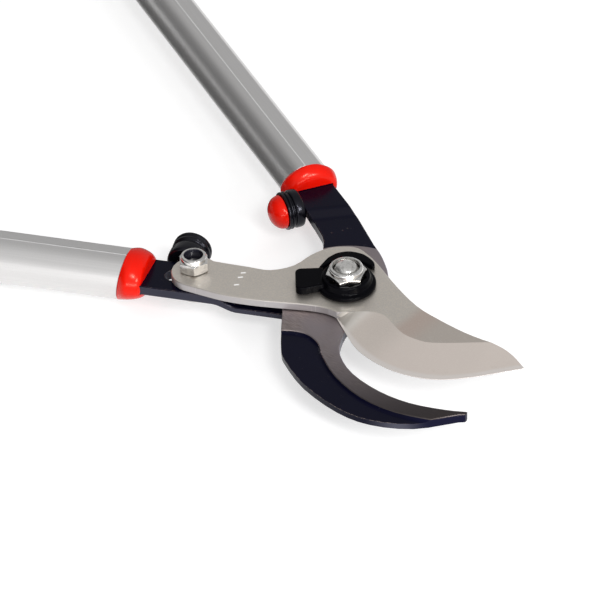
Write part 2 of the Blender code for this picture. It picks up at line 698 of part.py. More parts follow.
def make_tube(lever, look, parent):
    """A drawn tube, open at both ends, its first end leaning with the collar's rim."""
    outer = tube_section(0.0)
    inner = tube_section(TUBE_WALL)
    lean = rim_lean(lever)
    start = lever.rim + GAP
    bm = bmesh.new()
    rows = []
    for section, x, tilt in ((outer, start, lean), (outer, TUBE_END, (0.0, 0.0)),
                             (inner, TUBE_END, (0.0, 0.0)), (inner, start, lean)):
        rows.append([bm.verts.new((x + tilt[0] * y + tilt[1] * z, y, z)) for y, z in section])
    for a, b in zip(rows, rows[1:] + rows[:1]):
        for i in range(ROUND_SIDES):
            j = (i + 1) % ROUND_SIDES
            bm.faces.new((a[i], a[j], b[j], b[i]))
    finish(lever.name + "_tube", bm, look, parent, lever_matrix(lever))


def make_grip(lever, look, parent):
    """A soft grip pushed over the tube's end, with a flange, ribs and a closed heel."""
    bore = (TUBE_WIDTH / 2 + GAP, TUBE_HEIGHT / 2 + GAP)
    wall = bore[1] + GRIP_WALL
    crest = wall + 0.5
    groove = crest - GRIP_RIB_DEPTH
    flange = GRIP_FLANGE_DIAMETER / 2
    heel = GRIP_HEEL_DIAMETER / 2
    start = TUBE_END - GRIP_LENGTH
    floor = TUBE_END + GAP
    end = floor + GRIP_END_WALL
    profile = [(start, bore[1] + 1.0), (start + 3, flange), (start + 7, flange - 0.4),
               (start + 12, wall + 0.9), (start + 19, wall)]
    for i in range(GRIP_RIBS):
        x = start + GRIP_RIBS_START + i * GRIP_RIB_PITCH
        profile += [(x, crest), (x + 0.5 * GRIP_RIB_PITCH, crest),
                    (x + 0.58 * GRIP_RIB_PITCH, groove), (x + 0.90 * GRIP_RIB_PITCH, groove)]
    profile += [(start + GRIP_RIBS_START + GRIP_RIBS * GRIP_RIB_PITCH, crest), (end - 24, crest),
                (end - 12, heel - 0.4), (end - 7, heel), (end - 3, heel - 1.4), (end, heel - 5.5)]
    loops = [oval(floor, *bore, GRIP_SIDES), oval(start, *bore, GRIP_SIDES)]
    loops += [oval(x, radius, radius, GRIP_SIDES) for x, radius in profile]
    bm = bmesh.new()
    stacked(bm, loops)
    finish(lever.name + "_grip", bm, look, parent, lever_matrix(lever))


def make_handle(lever, looks, parent):
    """One handle's collar, tube, grip and bumper."""
    make_collar(lever, looks["red"], parent)
    make_tube(lever, looks["tube"], parent)
    make_grip(lever, looks["grip"], parent)
    make_bumper(lever, looks, parent)


def sleeve(name, bottom, top, inner, outer, look, parent):
    """A plain upright ring round the pivot."""
    profile = [(bottom, inner), (bottom, outer), (top, outer), (top, inner)]
    turned(name, profile, ROUND_SIDES, look, parent, UPRIGHT, ring=True)


def make_pivot(looks, blade_lever, hook_lever):
    """The pivot bolt, its bush in the hook, the washer and the lock nut."""
    radius = PIVOT_BOLT_DIAMETER / 2
    shoulder = NUT_TOP - 1.0
    bolt = hexagon("pivot_bolt", PIVOT_HEAD_FLATS, 0, PIVOT_HEAD_THICKNESS, looks["chrome"],
                   blade_lever, 0, 0)
    shank = [(PIVOT_HEAD_THICKNESS / 2, radius)]
    for i in range(5):
        a = radians(90 * i / 5)
        shank.append((shoulder + PIVOT_BOLT_DOME * sin(a), radius * cos(a)))
    shank.append((shoulder + PIVOT_BOLT_DOME, 0))
    combine(bolt, turned("pivot_shank", shank, ROUND_SIDES, None, None, UPRIGHT), "UNION")
    sleeve("pivot_bush", HOOK_BOTTOM, HOOK_TOP, radius + GAP, radius + GAP + BUSH_WALL,
           looks["bronze"], hook_lever)
    sleeve("pivot_washer", BLADE_TOP + GAP, BLADE_TOP + GAP + PIVOT_WASHER_THICKNESS, radius + GAP,
           PIVOT_WASHER_DIAMETER / 2, looks["chrome"], blade_lever)
    make_nut("pivot_nut", looks["chrome"], blade_lever, 0, 0, LOCK_TAB_ANGLE + PIVOT_NUT_TURN,
             PIVOT_NUT_FLATS, NUT_BASE, PIVOT_NUT_HEX_HEIGHT, PIVOT_NUT_RING_HEIGHT,
             PIVOT_NUT_RING_DIAMETER, PIVOT_BOLT_DIAMETER)


def make_nut(name, look, parent, x, y, turn, flats, base, hex_height, ring_height, ring_diameter, bolt):
    """A lock nut: a chamfered hexagon under a round ring, bored through."""
    body = hexagon(name, flats, base, base + hex_height, look, parent, x, y, turn)
    top = base + hex_height + ring_height
    r = ring_diameter / 2
    low = base + hex_height / 2
    ring = [(low, r - 1), (base + hex_height, r), (top - 0.9, r), (top - 0.25, r - 0.5), (top, r - 1.2)]
    place = Matrix.Translation((x, y, 0)) @ UPRIGHT
    combine(body, turned(name + "_ring", ring, ROUND_SIDES, None, None, place), "UNION")
    combine(body, pin(name + "_bore", x, y, bolt + 2 * GAP, base - 2, top + 2, ROUND_SIDES), "DIFFERENCE")


def make_tail_bolt(looks, parent):
    """The bolt and lock nut that clamp the blade's tail on the arm."""
    radius = TAIL_BOLT_DIAMETER / 2
    head_r = TAIL_HEAD_DIAMETER / 2
    head_top = ARM_BOTTOM - GAP
    head_low = head_top - TAIL_HEAD_THICKNESS
    base = BLADE_TOP + GAP
    end = base + TAIL_NUT_HEX_HEIGHT + TAIL_NUT_RING_HEIGHT - TAIL_BOLT_RECESS
    profile = [(head_low, 0), (head_low, head_r * 0.62), (head_low + TAIL_HEAD_THICKNESS / 4, head_r * 0.88),
               (head_low + TAIL_HEAD_THICKNESS / 2, head_r), (head_top, head_r), (head_top, radius),
               (end - 0.9, radius), (end, radius - 0.9), (end, 0)]
    place = Matrix.Translation((TAIL_BOLT_X, TAIL_BOLT_Y, 0)) @ UPRIGHT
    turned("tail_bolt", profile, SMALL_SIDES, looks["chrome"], parent, place)
    make_nut("tail_nut", looks["chrome"], parent, TAIL_BOLT_X, TAIL_BOLT_Y, TAIL_NUT_TURN,
             TAIL_NUT_FLATS, base, TAIL_NUT_HEX_HEIGHT, TAIL_NUT_RING_HEIGHT,
             TAIL_NUT_RING_DIAMETER, TAIL_BOLT_DIAMETER)


def make_lock_plate(look, parent):
    """The black plate that locks the nut: disc with a raised hub, tab and crescent arm."""
    base = BLADE_TOP + GAP
    disc = LOCK_DISC_DIAMETER / 2
    top = base + LOCK_DISC_THICKNESS
    hub = base + LOCK_HUB_HEIGHT
    bore = PIVOT_NUT_FLATS / 2 / cos(pi / 6) + GAP
    hub_r = bore + LOCK_HUB_WALL
    profile = [(base, 0), (base, disc), (top - 0.6, disc), (top, disc - 1.0),
               (top + 0.15, hub_r + LOCK_HUB_SLOPE), (hub - 0.3, hub_r + 0.25), (hub, hub_r), (hub, 0)]
    body = turned("pivot_lock_plate", profile, ROUND_SIDES + 8, look, parent, UPRIGHT)

    turn = Matrix.Rotation(radians(LOCK_TAB_ANGLE), 4, "Z")
    corner = LOCK_TAB_CORNER
    end = LOCK_TAB_REACH - corner
    tab = [(disc - 4, LOCK_TAB_TO), (disc - 4, LOCK_TAB_FROM)]
    tab += arc((end, LOCK_TAB_FROM + corner), corner, -90, 0, 3)
    tab += arc((end, LOCK_TAB_TO - corner), corner, 0, 90, 3)
    combine(body, slab("lock_tab", tab, base + 0.01, base + LOCK_TAB_THICKNESS, LOCK_TAB_BEVEL, turn),
            "UNION")

    inner = arc((0, 0), disc + LOCK_SLOT_WIDTH, 223, 318, 12)
    outside = [((disc + beyond) * cos(radians(way)), (disc + beyond) * sin(radians(way)))
               for way, beyond in LOCK_CRESCENT]
    crescent = (curve(outside, 2) + inner + [(disc - 2.4, LOCK_TAB_FROM + 1)])[::-1]
    combine(body, slab("lock_crescent", crescent, base + 0.02, base + LOCK_CRESCENT_THICKNESS,
                       LOCK_CRESCENT_BEVEL, turn), "UNION")

    dip = bore * cos(pi / 6) / cos(pi / 12) * 0.985
    star = [(r * cos(a), r * sin(a))
            for r, a in ((dip if i % 2 else bore, radians(LOCK_TAB_ANGLE + PIVOT_NUT_TURN + 15 * i))
                         for i in range(24))]
    cutter = bmesh.new()
    stacked(cutter, [at_height(star, base - 2), at_height(star, hub + 2)])
    combine(body, finish("lock_star", cutter, None), "DIFFERENCE")


def build():
    """Make every piece of the lopper."""
    clear_scene()
    looks = {
        "steel": material("ground steel", (0.62, 0.60, 0.56), 0.38, 1.0),
        "black": material("black coated steel", (0.02, 0.022, 0.035), 0.32, 0.4),
        "chrome": material("chromed steel", (0.80, 0.80, 0.79), 0.12, 1.0),
        "plate": material("black plastic", (0.012, 0.012, 0.018), 0.25, 0.0),
        "rubber": material("black rubber", (0.015, 0.015, 0.020), 0.3, 0.0),
        "red": material("red plastic", (0.80, 0.03, 0.01), 0.28, 0.0),
        "tube": material("anodised aluminium", (0.60, 0.59, 0.58), 0.42, 1.0),
        "grip": material("black grip", (0.02, 0.02, 0.022), 0.6, 0.0),
        "bronze": material("bush bronze", (0.55, 0.36, 0.16), 0.35, 1.0),
    }
    blade_lever = axis_empty("blade_lever_axis")
    hook_lever = axis_empty("hook_lever_axis")

    make_blade(looks["steel"], blade_lever)
    make_blade_arm(looks["black"], blade_lever)
    make_handle(BLADE_LEVER, looks, blade_lever)
    make_tail_bolt(looks, blade_lever)
    make_lock_plate(looks["plate"], blade_lever)

    make_hook(looks["black"], hook_lever)
    make_handle(HOOK_LEVER, looks, hook_lever)
    make_pivot(looks, blade_lever, hook_lever)


build()
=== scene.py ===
"""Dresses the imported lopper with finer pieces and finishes, on a pale floor in soft studio light.

The file is laid out as an add-on. Run as a script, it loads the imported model, calls each
operator in turn and leaves the scene ready to render.
"""

import json
from collections import namedtuple
from math import cos, pi, radians, sin, tan

import bmesh
import bpy
from bpy.props import FloatProperty, FloatVectorProperty, PointerProperty
from mathutils import Matrix, Vector

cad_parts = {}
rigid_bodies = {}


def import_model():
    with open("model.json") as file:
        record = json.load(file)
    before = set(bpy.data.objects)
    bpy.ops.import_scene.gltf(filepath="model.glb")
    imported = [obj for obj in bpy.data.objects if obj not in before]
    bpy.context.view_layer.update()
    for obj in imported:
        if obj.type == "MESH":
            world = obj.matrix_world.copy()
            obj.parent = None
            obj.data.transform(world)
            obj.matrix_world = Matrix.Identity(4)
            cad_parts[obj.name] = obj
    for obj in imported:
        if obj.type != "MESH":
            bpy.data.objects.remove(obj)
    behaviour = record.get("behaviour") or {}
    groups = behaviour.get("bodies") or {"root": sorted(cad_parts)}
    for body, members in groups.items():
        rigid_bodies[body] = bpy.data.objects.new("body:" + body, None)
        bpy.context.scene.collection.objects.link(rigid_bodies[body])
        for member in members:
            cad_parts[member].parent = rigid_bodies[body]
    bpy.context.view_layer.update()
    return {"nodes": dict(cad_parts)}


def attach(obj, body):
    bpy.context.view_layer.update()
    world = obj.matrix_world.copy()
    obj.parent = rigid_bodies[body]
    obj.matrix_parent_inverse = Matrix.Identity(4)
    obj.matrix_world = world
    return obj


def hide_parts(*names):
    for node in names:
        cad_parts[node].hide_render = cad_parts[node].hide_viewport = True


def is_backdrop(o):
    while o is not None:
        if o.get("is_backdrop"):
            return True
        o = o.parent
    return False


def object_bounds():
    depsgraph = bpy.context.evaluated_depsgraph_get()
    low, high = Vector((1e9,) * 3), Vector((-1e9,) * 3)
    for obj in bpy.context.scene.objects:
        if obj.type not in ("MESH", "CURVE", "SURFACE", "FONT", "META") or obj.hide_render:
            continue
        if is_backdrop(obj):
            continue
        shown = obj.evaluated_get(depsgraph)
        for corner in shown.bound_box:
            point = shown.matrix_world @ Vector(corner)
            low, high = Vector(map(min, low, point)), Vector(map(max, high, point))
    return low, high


bl_info = {
    "name": "Lopper dressing",
    "version": (1, 0, 0),
    "blender": (4, 5, 0),
    "location": "View3D > Sidebar > Lopper",
    "description": "Finer pieces, finishes and a studio for the packed lopper",
    "category": "Object",
}

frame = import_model()
NODES = frame["nodes"]

# Lengths in the mesh and finish code are in millimetres, as in the part's source
MM = 0.001
GAP = 0.3
SIDES = 96
WELD = 0.002

# Blade, hook and arm: how far edges are rounded, and the fillet beside the hook's flank.
# Then how far an edge turns to stay sharp, on most pieces and on these three
EDGE_ROUND = 0.16
FLANK_FILLET = 0.8
SHARP_TURN = radians(32)
FORGED_SHARP_TURN = radians(40)

# Heights and sizes in the pivot stack
ARM_BOTTOM = 9.1
BLADE_BOTTOM = 14.4
BLADE_TOP = 18.4
HOOK_TOP = 14.1
FLANK_TOP = 12.5
NUT_BASE = 20.5
NUT_HEX = 6.6
NUT_RING = 2.5
NUT_RING_DIAMETER = 16.2
BOLT_RADIUS = 5.8
BOLT_HEAD_FLATS = 19.0
BOLT_HEAD = 5.5
BOLT_SHOULDER = 1.3
BOLT_DOME = 2.9
DENT = 1.3
DENT_PLACE = (0.8, 3.2)

# Tail bolt: its place, its nut's sizes and turn with the black insert in its bore, whose black
# also paints shade on the bolt's end, then its own radius, its end above the nut's base, and its
# head
TAIL_BOLT = (-65.2, -34.6)
TAIL_NUT_HEX = 5.4
TAIL_NUT_RING = 2.4
TAIL_NUT_RING_DIAMETER = 12.4
TAIL_NUT_TURN = 12.0
TAIL_INSERT_RADIUS = 4.7
TAIL_BOLT_RADIUS = 4.0
TAIL_BOLT_END = 3.4
TAIL_HEAD = 6.2
TAIL_HEAD_RADIUS = 7.2

# The two levers: the way each handle points, and its own pieces' sizes
Lever = namedtuple("Lever", "name body angle offset height rim slant arm_width arm_shift "
                            "thickness side station neck cup dome brim")
LEVERS = (
    Lever("blade", "blade_lever", 205.7, 5.6, 11.6, 107.2, 2.0, 22.4, 0.0, 5.0,
          -1, 81.3, 1.7, 15.6, 5.2, 7.1),
    Lever("hook", "hook_lever", 154.3, -19.9, 12.95, 93.3, 6.3, 20.6, 0.6, 4.9,
          1, 73.8, 0.4, 9.4, 7.0, 8.4),
)

# Tubes: end, wall, chamfer, and the flat's two sides as angles from the top
TUBE_END = 522.0
TUBE_WALL = 1.5
TUBE_CHAMFER = 0.25
TUBE_FLAT = (9.0, -32.0)
FLAT_POINTS = 10

# Collars: the spigot inside the tube, the front's half width and height, how far the arm
# enters, the rim's slant across and its seam to the tube, and half of the tang's slot
SPIGOT_LENGTH = 18.0
COLLAR_FRONT = (10.5, 6.3)
COLLAR_STEPS = 26
COLLAR_SHOULDER = 6.0
RIM_SLANT = 0.8
RIM_SEAM = 0.06
TANG_HALF_WIDTH = 8.3

# Bumpers: radii of the cup's neck, screw hole and pocket, the pocket's floor, the cup's lips
# as shares of its length and changes of its radius, and the dome's peg
CUP_NECK = 4.2
CUP_BORE = 1.9
CUP_POCKET = 4.7
CUP_FLOOR = 3.0
CUP_LIPS = [(0.30, 0.0), (0.50, -0.1), (0.58, -0.6), (0.61, -1.3), (0.68, -1.2), (0.72, -0.1),
            (0.80, -0.1), (0.84, -0.8), (0.90, 0.0), (1.0, -0.2)]
PEG_RADIUS = 4.4
PEG_LENGTH = 2.6

# Grips: from and to, how thick, the flange and the heel as distances from the grip's ends
# and radii, and the ribs
GRIP_START = 386.0
GRIP_END = 527.3
GRIP_WALL = 2.6
GRIP_SIDES = 72
FLANGE = [(3.0, 18.5), (7.0, 18.1)]
HEEL = [(-12.0, 16.9), (-7.0, 17.3), (-3.0, 15.9), (0.0, 11.8)]
RIBS = 5
RIB_START = 26.0
RIB_PITCH = 13.0

# Lock plate: its heights, its tab's direction and the nut's turn from it
LOCK_DISC = 2.2
LOCK_HUB = 6.0
LOCK_TAB = 3.9
LOCK_CRESCENT_TOP = 2.6
LOCK_TAB_ANGLE = 221.5
NUT_TURN = 10.0
LOCK_GRAIN = 0.32
# The tab's outline along and across that direction: its root, its end's round corners and
# its waist
TAB_ROOT = (-9.0, 5.0)
TAB_END = 21.2
TAB_SIDES = (-6.2, 4.0)
TAB_CORNER = 2.8
TAB_WAIST = [(18.8, 6.7), (17.0, 6.1), (15.4, 5.4)]
# The crescent's outline, as directions from the tab's and distances outside the disc, and
# its inner edge's distance and two directions
LOCK_CRESCENT = [(331.1, 2.6), (322.9, 2.6), (314.0, 3.3), (306.7, 4.1), (297.5, 5.6),
                 (289.6, 6.9), (278.4, 8.4), (264.5, 9.0), (250.0, 8.3), (240.5, 7.2),
                 (229.5, 5.8), (222.0, 4.5), (218.6, 3.2), (221.0, 2.1)]
CRESCENT_INSIDE = 1.9
CRESCENT_TURNS = (226, 318)

# Marks: short bright ticks on the blade, the tubes' seam, whose bright line is a painted highlight,
# small pits on the hook's arm, and the radius of the hook's bare facing round the pivot
TICKS = [(-44.47, -22.89), (-43.25, -26.31), (-40.89, -31.88)]
TICK_TURN = radians(46.0)
TICK_HALF_SIZE = (0.45, 1.2)
SEAM_SIDE = 1.86
PITS = [(-35.9, 31.8), (-33.0, 36.6), (-32.2, 39.3)]
PIT_HALF_SIZE = (0.45, 0.45)
FACING_RADIUS = 36.6
# The bend across the hook's arm: its direction, and where its lighter band, painted sheen, starts
# and ends
BEND_SHEEN_WAY = (-0.745, 0.667)
BEND_SHEEN_FROM, BEND_SHEEN_TO = (59.0, 61.5), (67.5, 64.5)
# Heights between which the blade's whetted edge and the hook's bare top set in
WHETTED = (BLADE_BOTTOM + 0.85, BLADE_BOTTOM + 0.55)
BARE_TOP = (HOOK_TOP - 0.42, HOOK_TOP - 0.30)
# The way the walls between the levers face: the painted sheen is left off them, which keeps them
# dark as painted shade
SHADED_INNER_WALLS = (-0.749, -0.663, 0.0)

# The photograph's viewpoint, measured round the pivot at the blade's top
VIEW_TURN = radians(41.5)
VIEW_ELEVATION = radians(37.5)
VIEW_ROLL = radians(2.0)
VIEW_DISTANCE = 1.7
FOCAL_PIXELS = 3617.0
IMAGE_SIDE = 600
SENSOR = 36.0
PIVOT_PIXEL = (346.6, 285.0)

# Lamps: place as the camera sees it (right, away and up), size and power
LAMPS = (("lamp_main", (0.32, -1.10, 1.12), (0.34, 0.32), 9.0),
         ("lamp_right", (0.83, -1.18, 0.69), (0.34, 0.32), 8.5),
         ("lamp_front", (0.1, -1.7, 0.16), (1.6, 0.3), 13.0))
# The floor, and the dark sheet left of the hook's handle that paints a dark reflection on it:
# how far each lies below the lowest piece, in metres, and the sheet's corners in the handle's frame
FLOOR_HALF = 4.0
FLOOR_GLOW = 0.55
FLOOR_DROP = 0.0004
REFLECTION_SHEET_DROP = 0.0002
REFLECTION_SHEET_CORNERS = ((105, 15), (400, 15), (400, 170), (105, 170))


def length_property(name, description, default):
    """A length that the panel shows."""
    return FloatProperty(name=name, description=description, default=default, unit="LENGTH")


def colour_property(name, description, default):
    """A colour that the panel shows."""
    return FloatVectorProperty(name=name, description=description, subtype="COLOR", size=3,
                               min=0.0, max=1.0, default=default)


class LopperSizes(bpy.types.PropertyGroup):
    """Sizes of the finer pieces."""
    tube_width: length_property("Tube width", "Width of the oval handle tube", 0.0238)
    tube_height: length_property("Tube height", "Height of the oval handle tube", 0.026)
    collar_length: length_property("Collar length", "From the collar's front to its rim", 0.0115)
    collar_bulge: length_property("Collar bulge", "How far it swells past the tube", 0.0027)
    bumper_diameter: length_property("Bumper diameter", "Diameter of the black cups", 0.0192)
    pivot_nut_flats: length_property("Pivot nut flats", "Across flats of the pivot nut", 0.017)
    tail_nut_flats: length_property("Tail nut flats", "Across flats of the tail nut", 0.013)
    lock_disc: length_property("Lock plate disc", "Diameter of the lock plate's disc", 0.028)


class LopperColours(bpy.types.PropertyGroup):
    """Colours of the finishes."""
    steel: colour_property("Blade steel", "Ground steel of the blade", (0.72, 0.675, 0.62))
    bare: colour_property("Bare steel", "Uncoated steel on the hook's inner band",
                          (0.38, 0.322, 0.308))
    coating: colour_property("Coating", "Blue-black coating of the hook and arms",
                             (0.0012, 0.0012, 0.0075))
    # The coated walls' lighter colour is painted sheen
    wall: colour_property("Coated edges", "Thinner coating on the walls of the hook and arms",
                          (0.075, 0.075, 0.098))
    bright: colour_property("Bright steel", "Plated nuts, bolts and washers", (0.74, 0.73, 0.71))
    red: colour_property("Red plastic", "Collars and bumper domes", (0.68, 0.005, 0.0003))
    plastic: colour_property("Black plastic", "Lock plate", (0.0012, 0.0012, 0.002))
    rubber: colour_property("Black rubber", "Bumper cups", (0.001, 0.001, 0.002))
    tube: colour_property("Aluminium", "Anodised handle tubes", (0.70, 0.69, 0.685))
    grip: colour_property("Grip", "Soft grips", (0.022, 0.022, 0.024))
    bush: colour_property("Bush", "Bronze bush", (0.50, 0.32, 0.14))
    floor: colour_property("Floor", "Pale studio floor", (0.62, 0.62, 0.62))


class Value:
    """A number that varies over a surface. Python's operators on it add Math nodes."""

    def __init__(self, look, socket):
        self.look = look
        self.socket = socket

    def math(self, operation, first, second):
        return self.look.node("ShaderNodeMath", {"operation": operation}, {0: first, 1: second})

    def __add__(self, other):
        return self.math("ADD", self, other)

    def __radd__(self, other):
        return self.math("ADD", other, self)

    def __sub__(self, other):
        return self.math("SUBTRACT", self, other)

    def __rsub__(self, other):
        return self.math("SUBTRACT", other, self)

    def __mul__(self, other):
        return self.math("MULTIPLY", self, other)

    def __rmul__(self, other):
        return self.math("MULTIPLY", other, self)

    def __abs__(self):
        return self.look.node("ShaderNodeMath", {"operation": "ABSOLUTE"}, {0: self})


class Look:
    """Builds the nodes of one material or of the world."""

    def __init__(self, owner):
        owner.use_nodes = True
        self.owner = owner
        self.tree = owner.node_tree
        self.tree.nodes.clear()

    def node(self, kind, settings=None, sockets=None, output=0):
        """Add a node: its settings first, then the values or links of its sockets."""
        added = self.tree.nodes.new(kind)
        for name, value in (settings or {}).items():
            setattr(added, name, value)
        for key, value in (sockets or {}).items():
            if isinstance(value, Value):
                self.tree.links.new(value.socket, added.inputs[key])
            else:
                added.inputs[key].default_value = value
        return Value(self, added.outputs[output]) if added.outputs else None

    def vector(self, operation, first, second=(0.0, 0.0, 0.0), output=0):
        """Vector maths."""
        return self.node("ShaderNodeVectorMath", {"operation": operation},
                         {0: first, 1: second}, output)

    def place(self, stretch=(1.0, 1.0, 1.0)):
        """The piece's own coordinates, in metres, pressed together along its axes."""
        own = self.node("ShaderNodeTexCoord", output="Object")
        return self.vector("MULTIPLY", own, stretch)

    def axes(self, place):
        """A place's X, Y and Z in millimetres."""
        fine = self.vector("MULTIPLY", place, (1 / MM, 1 / MM, 1 / MM))
        return [self.node("ShaderNodeSeparateXYZ", None, {0: fine}, axis) for axis in "XYZ"]

    def away(self, place, x=0.0, y=0.0):
        """The distance from an upright axis, in millimetres."""
        flat = self.vector("MULTIPLY", place, (1 / MM, 1 / MM, 0.0))
        return self.vector("LENGTH", self.vector("SUBTRACT", flat, (x, y, 0.0)), output="Value")

    def facing(self):
        """The way the surface faces."""
        return self.node("ShaderNodeNewGeometry", output="Normal")

    def upward(self):
        """How far the surface faces up."""
        return self.node("ShaderNodeSeparateXYZ", None, {0: self.facing()}, "Z")

    def toward(self, way, direction):
        """How far two directions agree."""
        return self.vector("DOT_PRODUCT", way, direction, "Value")

    def ray(self, kind):
        """1 for rays of one kind."""
        return self.node("ShaderNodeLightPath", output=kind)

    def noise(self, place, scale, detail=2.0, roughness=0.5):
        """Cloudy noise from 0 to 1."""
        return self.node("ShaderNodeTexNoise", None, {"Vector": place, "Scale": scale,
                                                      "Detail": detail, "Roughness": roughness})

    def ramp(self, value, start, end):
        """0 at the start value and 1 at the end value, eased between them."""
        return self.node("ShaderNodeMapRange", {"interpolation_type": "SMOOTHSTEP"},
                         {"Value": value, "From Min": start, "From Max": end})

    def patches(self, place, scale, detail, roughness, start, end):
        """Scattered patches: noise that rises from 0 to 1 between two of its levels."""
        return self.ramp(self.noise(place, scale, detail, roughness), start, end)

    def mix(self, factor, first, second):
        """A colour between two colours."""
        return self.node("ShaderNodeMix", {"data_type": "RGBA"},
                         {0: factor, 6: rgba(first), 7: rgba(second)}, 2)

    def tones(self, factor, colour, dark, light):
        """From a darker to a lighter tone of a colour."""
        return self.mix(factor, toned(colour, dark), toned(colour, light))

    def layers(self, base, *layers):
        """Lay colours over a base, each with its share."""
        for share, colour in layers:
            base = self.mix(share, base, colour)
        return base

    def spot(self, across, along, half_sizes):
        """1 within a small oblong, from distances off its middle."""
        parts = [self.ramp(abs(way), half * 1.25, half * 0.75)
                 for way, half in zip((across, along), half_sizes)]
        return parts[0] * parts[1]

    def edge(self, radius):
        """Near a hard edge of the piece it rises from 0 to 1."""
        soft = self.node("ShaderNodeBevel", {"samples": 6}, {"Radius": radius * MM})
        return self.ramp(self.toward(soft, self.facing()), 0.997, 0.86)

    def bump(self, height, depth, strength=0.5):
        """A bumped normal: the height's full swing is this depth."""
        return self.node("ShaderNodeBump", None,
                         {"Height": height, "Distance": depth * MM, "Strength": strength})

    def surface(self, base, rough, more):
        """The Principled shader and the output. It gives the finished material."""
        shader = self.node("ShaderNodeBsdfPrincipled", None,
                           {"Base Color": rgba(base), "Roughness": rough, **more})
        self.node("ShaderNodeOutputMaterial", None, {"Surface": shader})
        return self.owner


def rgba(colour):
    """A colour with its alpha, unless it is a link."""
    return colour if isinstance(colour, Value) else (*tuple(colour)[:3], 1.0)


def toned(colour, factor):
    """A colour made lighter or darker."""
    return tinted(colour, (factor, factor, factor))


def tinted(colour, tint):
    """A colour times another."""
    return tuple(min(1.0, a * b) for a, b in zip(colour, tint))


def new_look(name):
    """The builder of a new material."""
    return Look(bpy.data.materials.new(name))


def blade_steel(colours):
    """Ground steel: fine grain, tarnish, a warmer bevel and a bright whetted edge, with painted
    shade and highlights.
    """
    look = new_look("blade_steel")
    place = look.place()
    x, y, z = look.axes(place)
    steel = colours.steel
    up = look.upward()
    bevel = look.ramp(up, 0.9988, 0.9940)
    # Painted shade darkens the steep faces, and the scoop by the pivot further
    steep_shade = look.ramp(up, 0.975, 0.90)
    wall = look.ramp(up, 0.55, 0.25)
    scoop = steep_shade * look.ramp(x, 4.0, 6.0) * look.ramp(y, -4.0, -6.0)
    # Painted highlight: the bevel's start toward the pivot is lightened
    painted_sheen = look.ramp(up, 0.984, 0.966) * look.ramp(x, 32.0, 24.0) * bevel
    whetted = look.ramp(z, *WHETTED) * bevel * (1.0 - wall)
    cloud = look.noise(place, 34.0, 3.0)
    speck = look.noise(place, 1500.0, 2.0, 0.6)
    grind = look.noise(look.place((60.0, 900.0, 300.0)), 1.0, 3.0, 0.6)
    grain = look.ramp(speck, 0.35, 0.75)
    stain = look.patches(place, 90.0, 5.0, 0.7, 0.62, 0.78)
    scratch = 0.0
    for turn in (0.4, 1.9):
        way = look.node("ShaderNodeVectorRotate", {"rotation_type": "Z_AXIS"},
                        {"Vector": place, "Angle": turn})
        thin = look.vector("MULTIPLY", way, (60.0, 1500.0, 60.0))
        scratch = look.ramp(look.noise(thin, 1.0, 1.0), 0.70, 0.76) + scratch
    marks = 0.0
    for tick_x, tick_y in TICKS:
        right, ahead = x - tick_x, y - tick_y
        across = ahead * cos(TICK_TURN) - right * sin(TICK_TURN)
        along = right * cos(TICK_TURN) + ahead * sin(TICK_TURN)
        marks = look.spot(across, along, TICK_HALF_SIZE) + marks

    # Brown tarnish on the flat, past the scoop, turns grey toward the nose
    tarnish = look.mix(look.ramp(x, 44.0, 56.0), tinted(steel, (0.94, 0.83, 0.80)),
                       tinted(steel, (0.91, 0.88, 0.87)))
    tarnished = look.ramp(x + cloud * 6.0, 38.0, 45.0)
    flat = look.layers(look.tones(cloud, steel, 0.93, 1.04),
                       (grain, tinted(steel, (1.11, 1.09335, 1.0656))),
                       (tarnished * (0.95 - 0.25 * grain), tarnish))
    ground = look.mix(look.ramp(x, 34.0, 50.0), tinted(steel, (1.18, 1.14, 1.135)),
                      tinted(steel, (1.31, 1.255, 1.26)))
    ground = look.mix(grain * 0.3, ground, tinted(steel, (1.40, 1.38, 1.38)))
    base = look.layers(look.mix(bevel, flat, ground),
                       (painted_sheen * 0.7, (1.0, 0.965, 0.91)),
                       (steep_shade, toned(steel, 0.75)),
                       (scoop, toned(steel, 0.68)),
                       (wall, tinted(steel, (0.60, 0.61, 0.665))),
                       (whetted * 0.9, (1.0, 0.94, 0.90)),
                       (stain * 0.30, tinted(steel, (0.80, 0.73, 0.64))),
                       (scratch * 0.22, (0.92, 0.90, 0.88)),
                       # Lighter edges: rubbed steel, and partly a painted highlight along the
                       # rounded edges
                       (look.edge(0.45) * 0.20, (0.80, 0.79, 0.77)),
                       (marks, (0.93, 0.92, 0.90)))
    rough = 0.38 + 0.08 * speck + 0.05 * cloud - 0.04 * grind + 0.15 * wall + 0.25 * scoop
    normal = look.bump(speck * 0.5 + grind * 0.3 - marks, 0.02)
    return look.surface(base, rough, {"Metallic": 1.0 - marks, "Normal": normal})


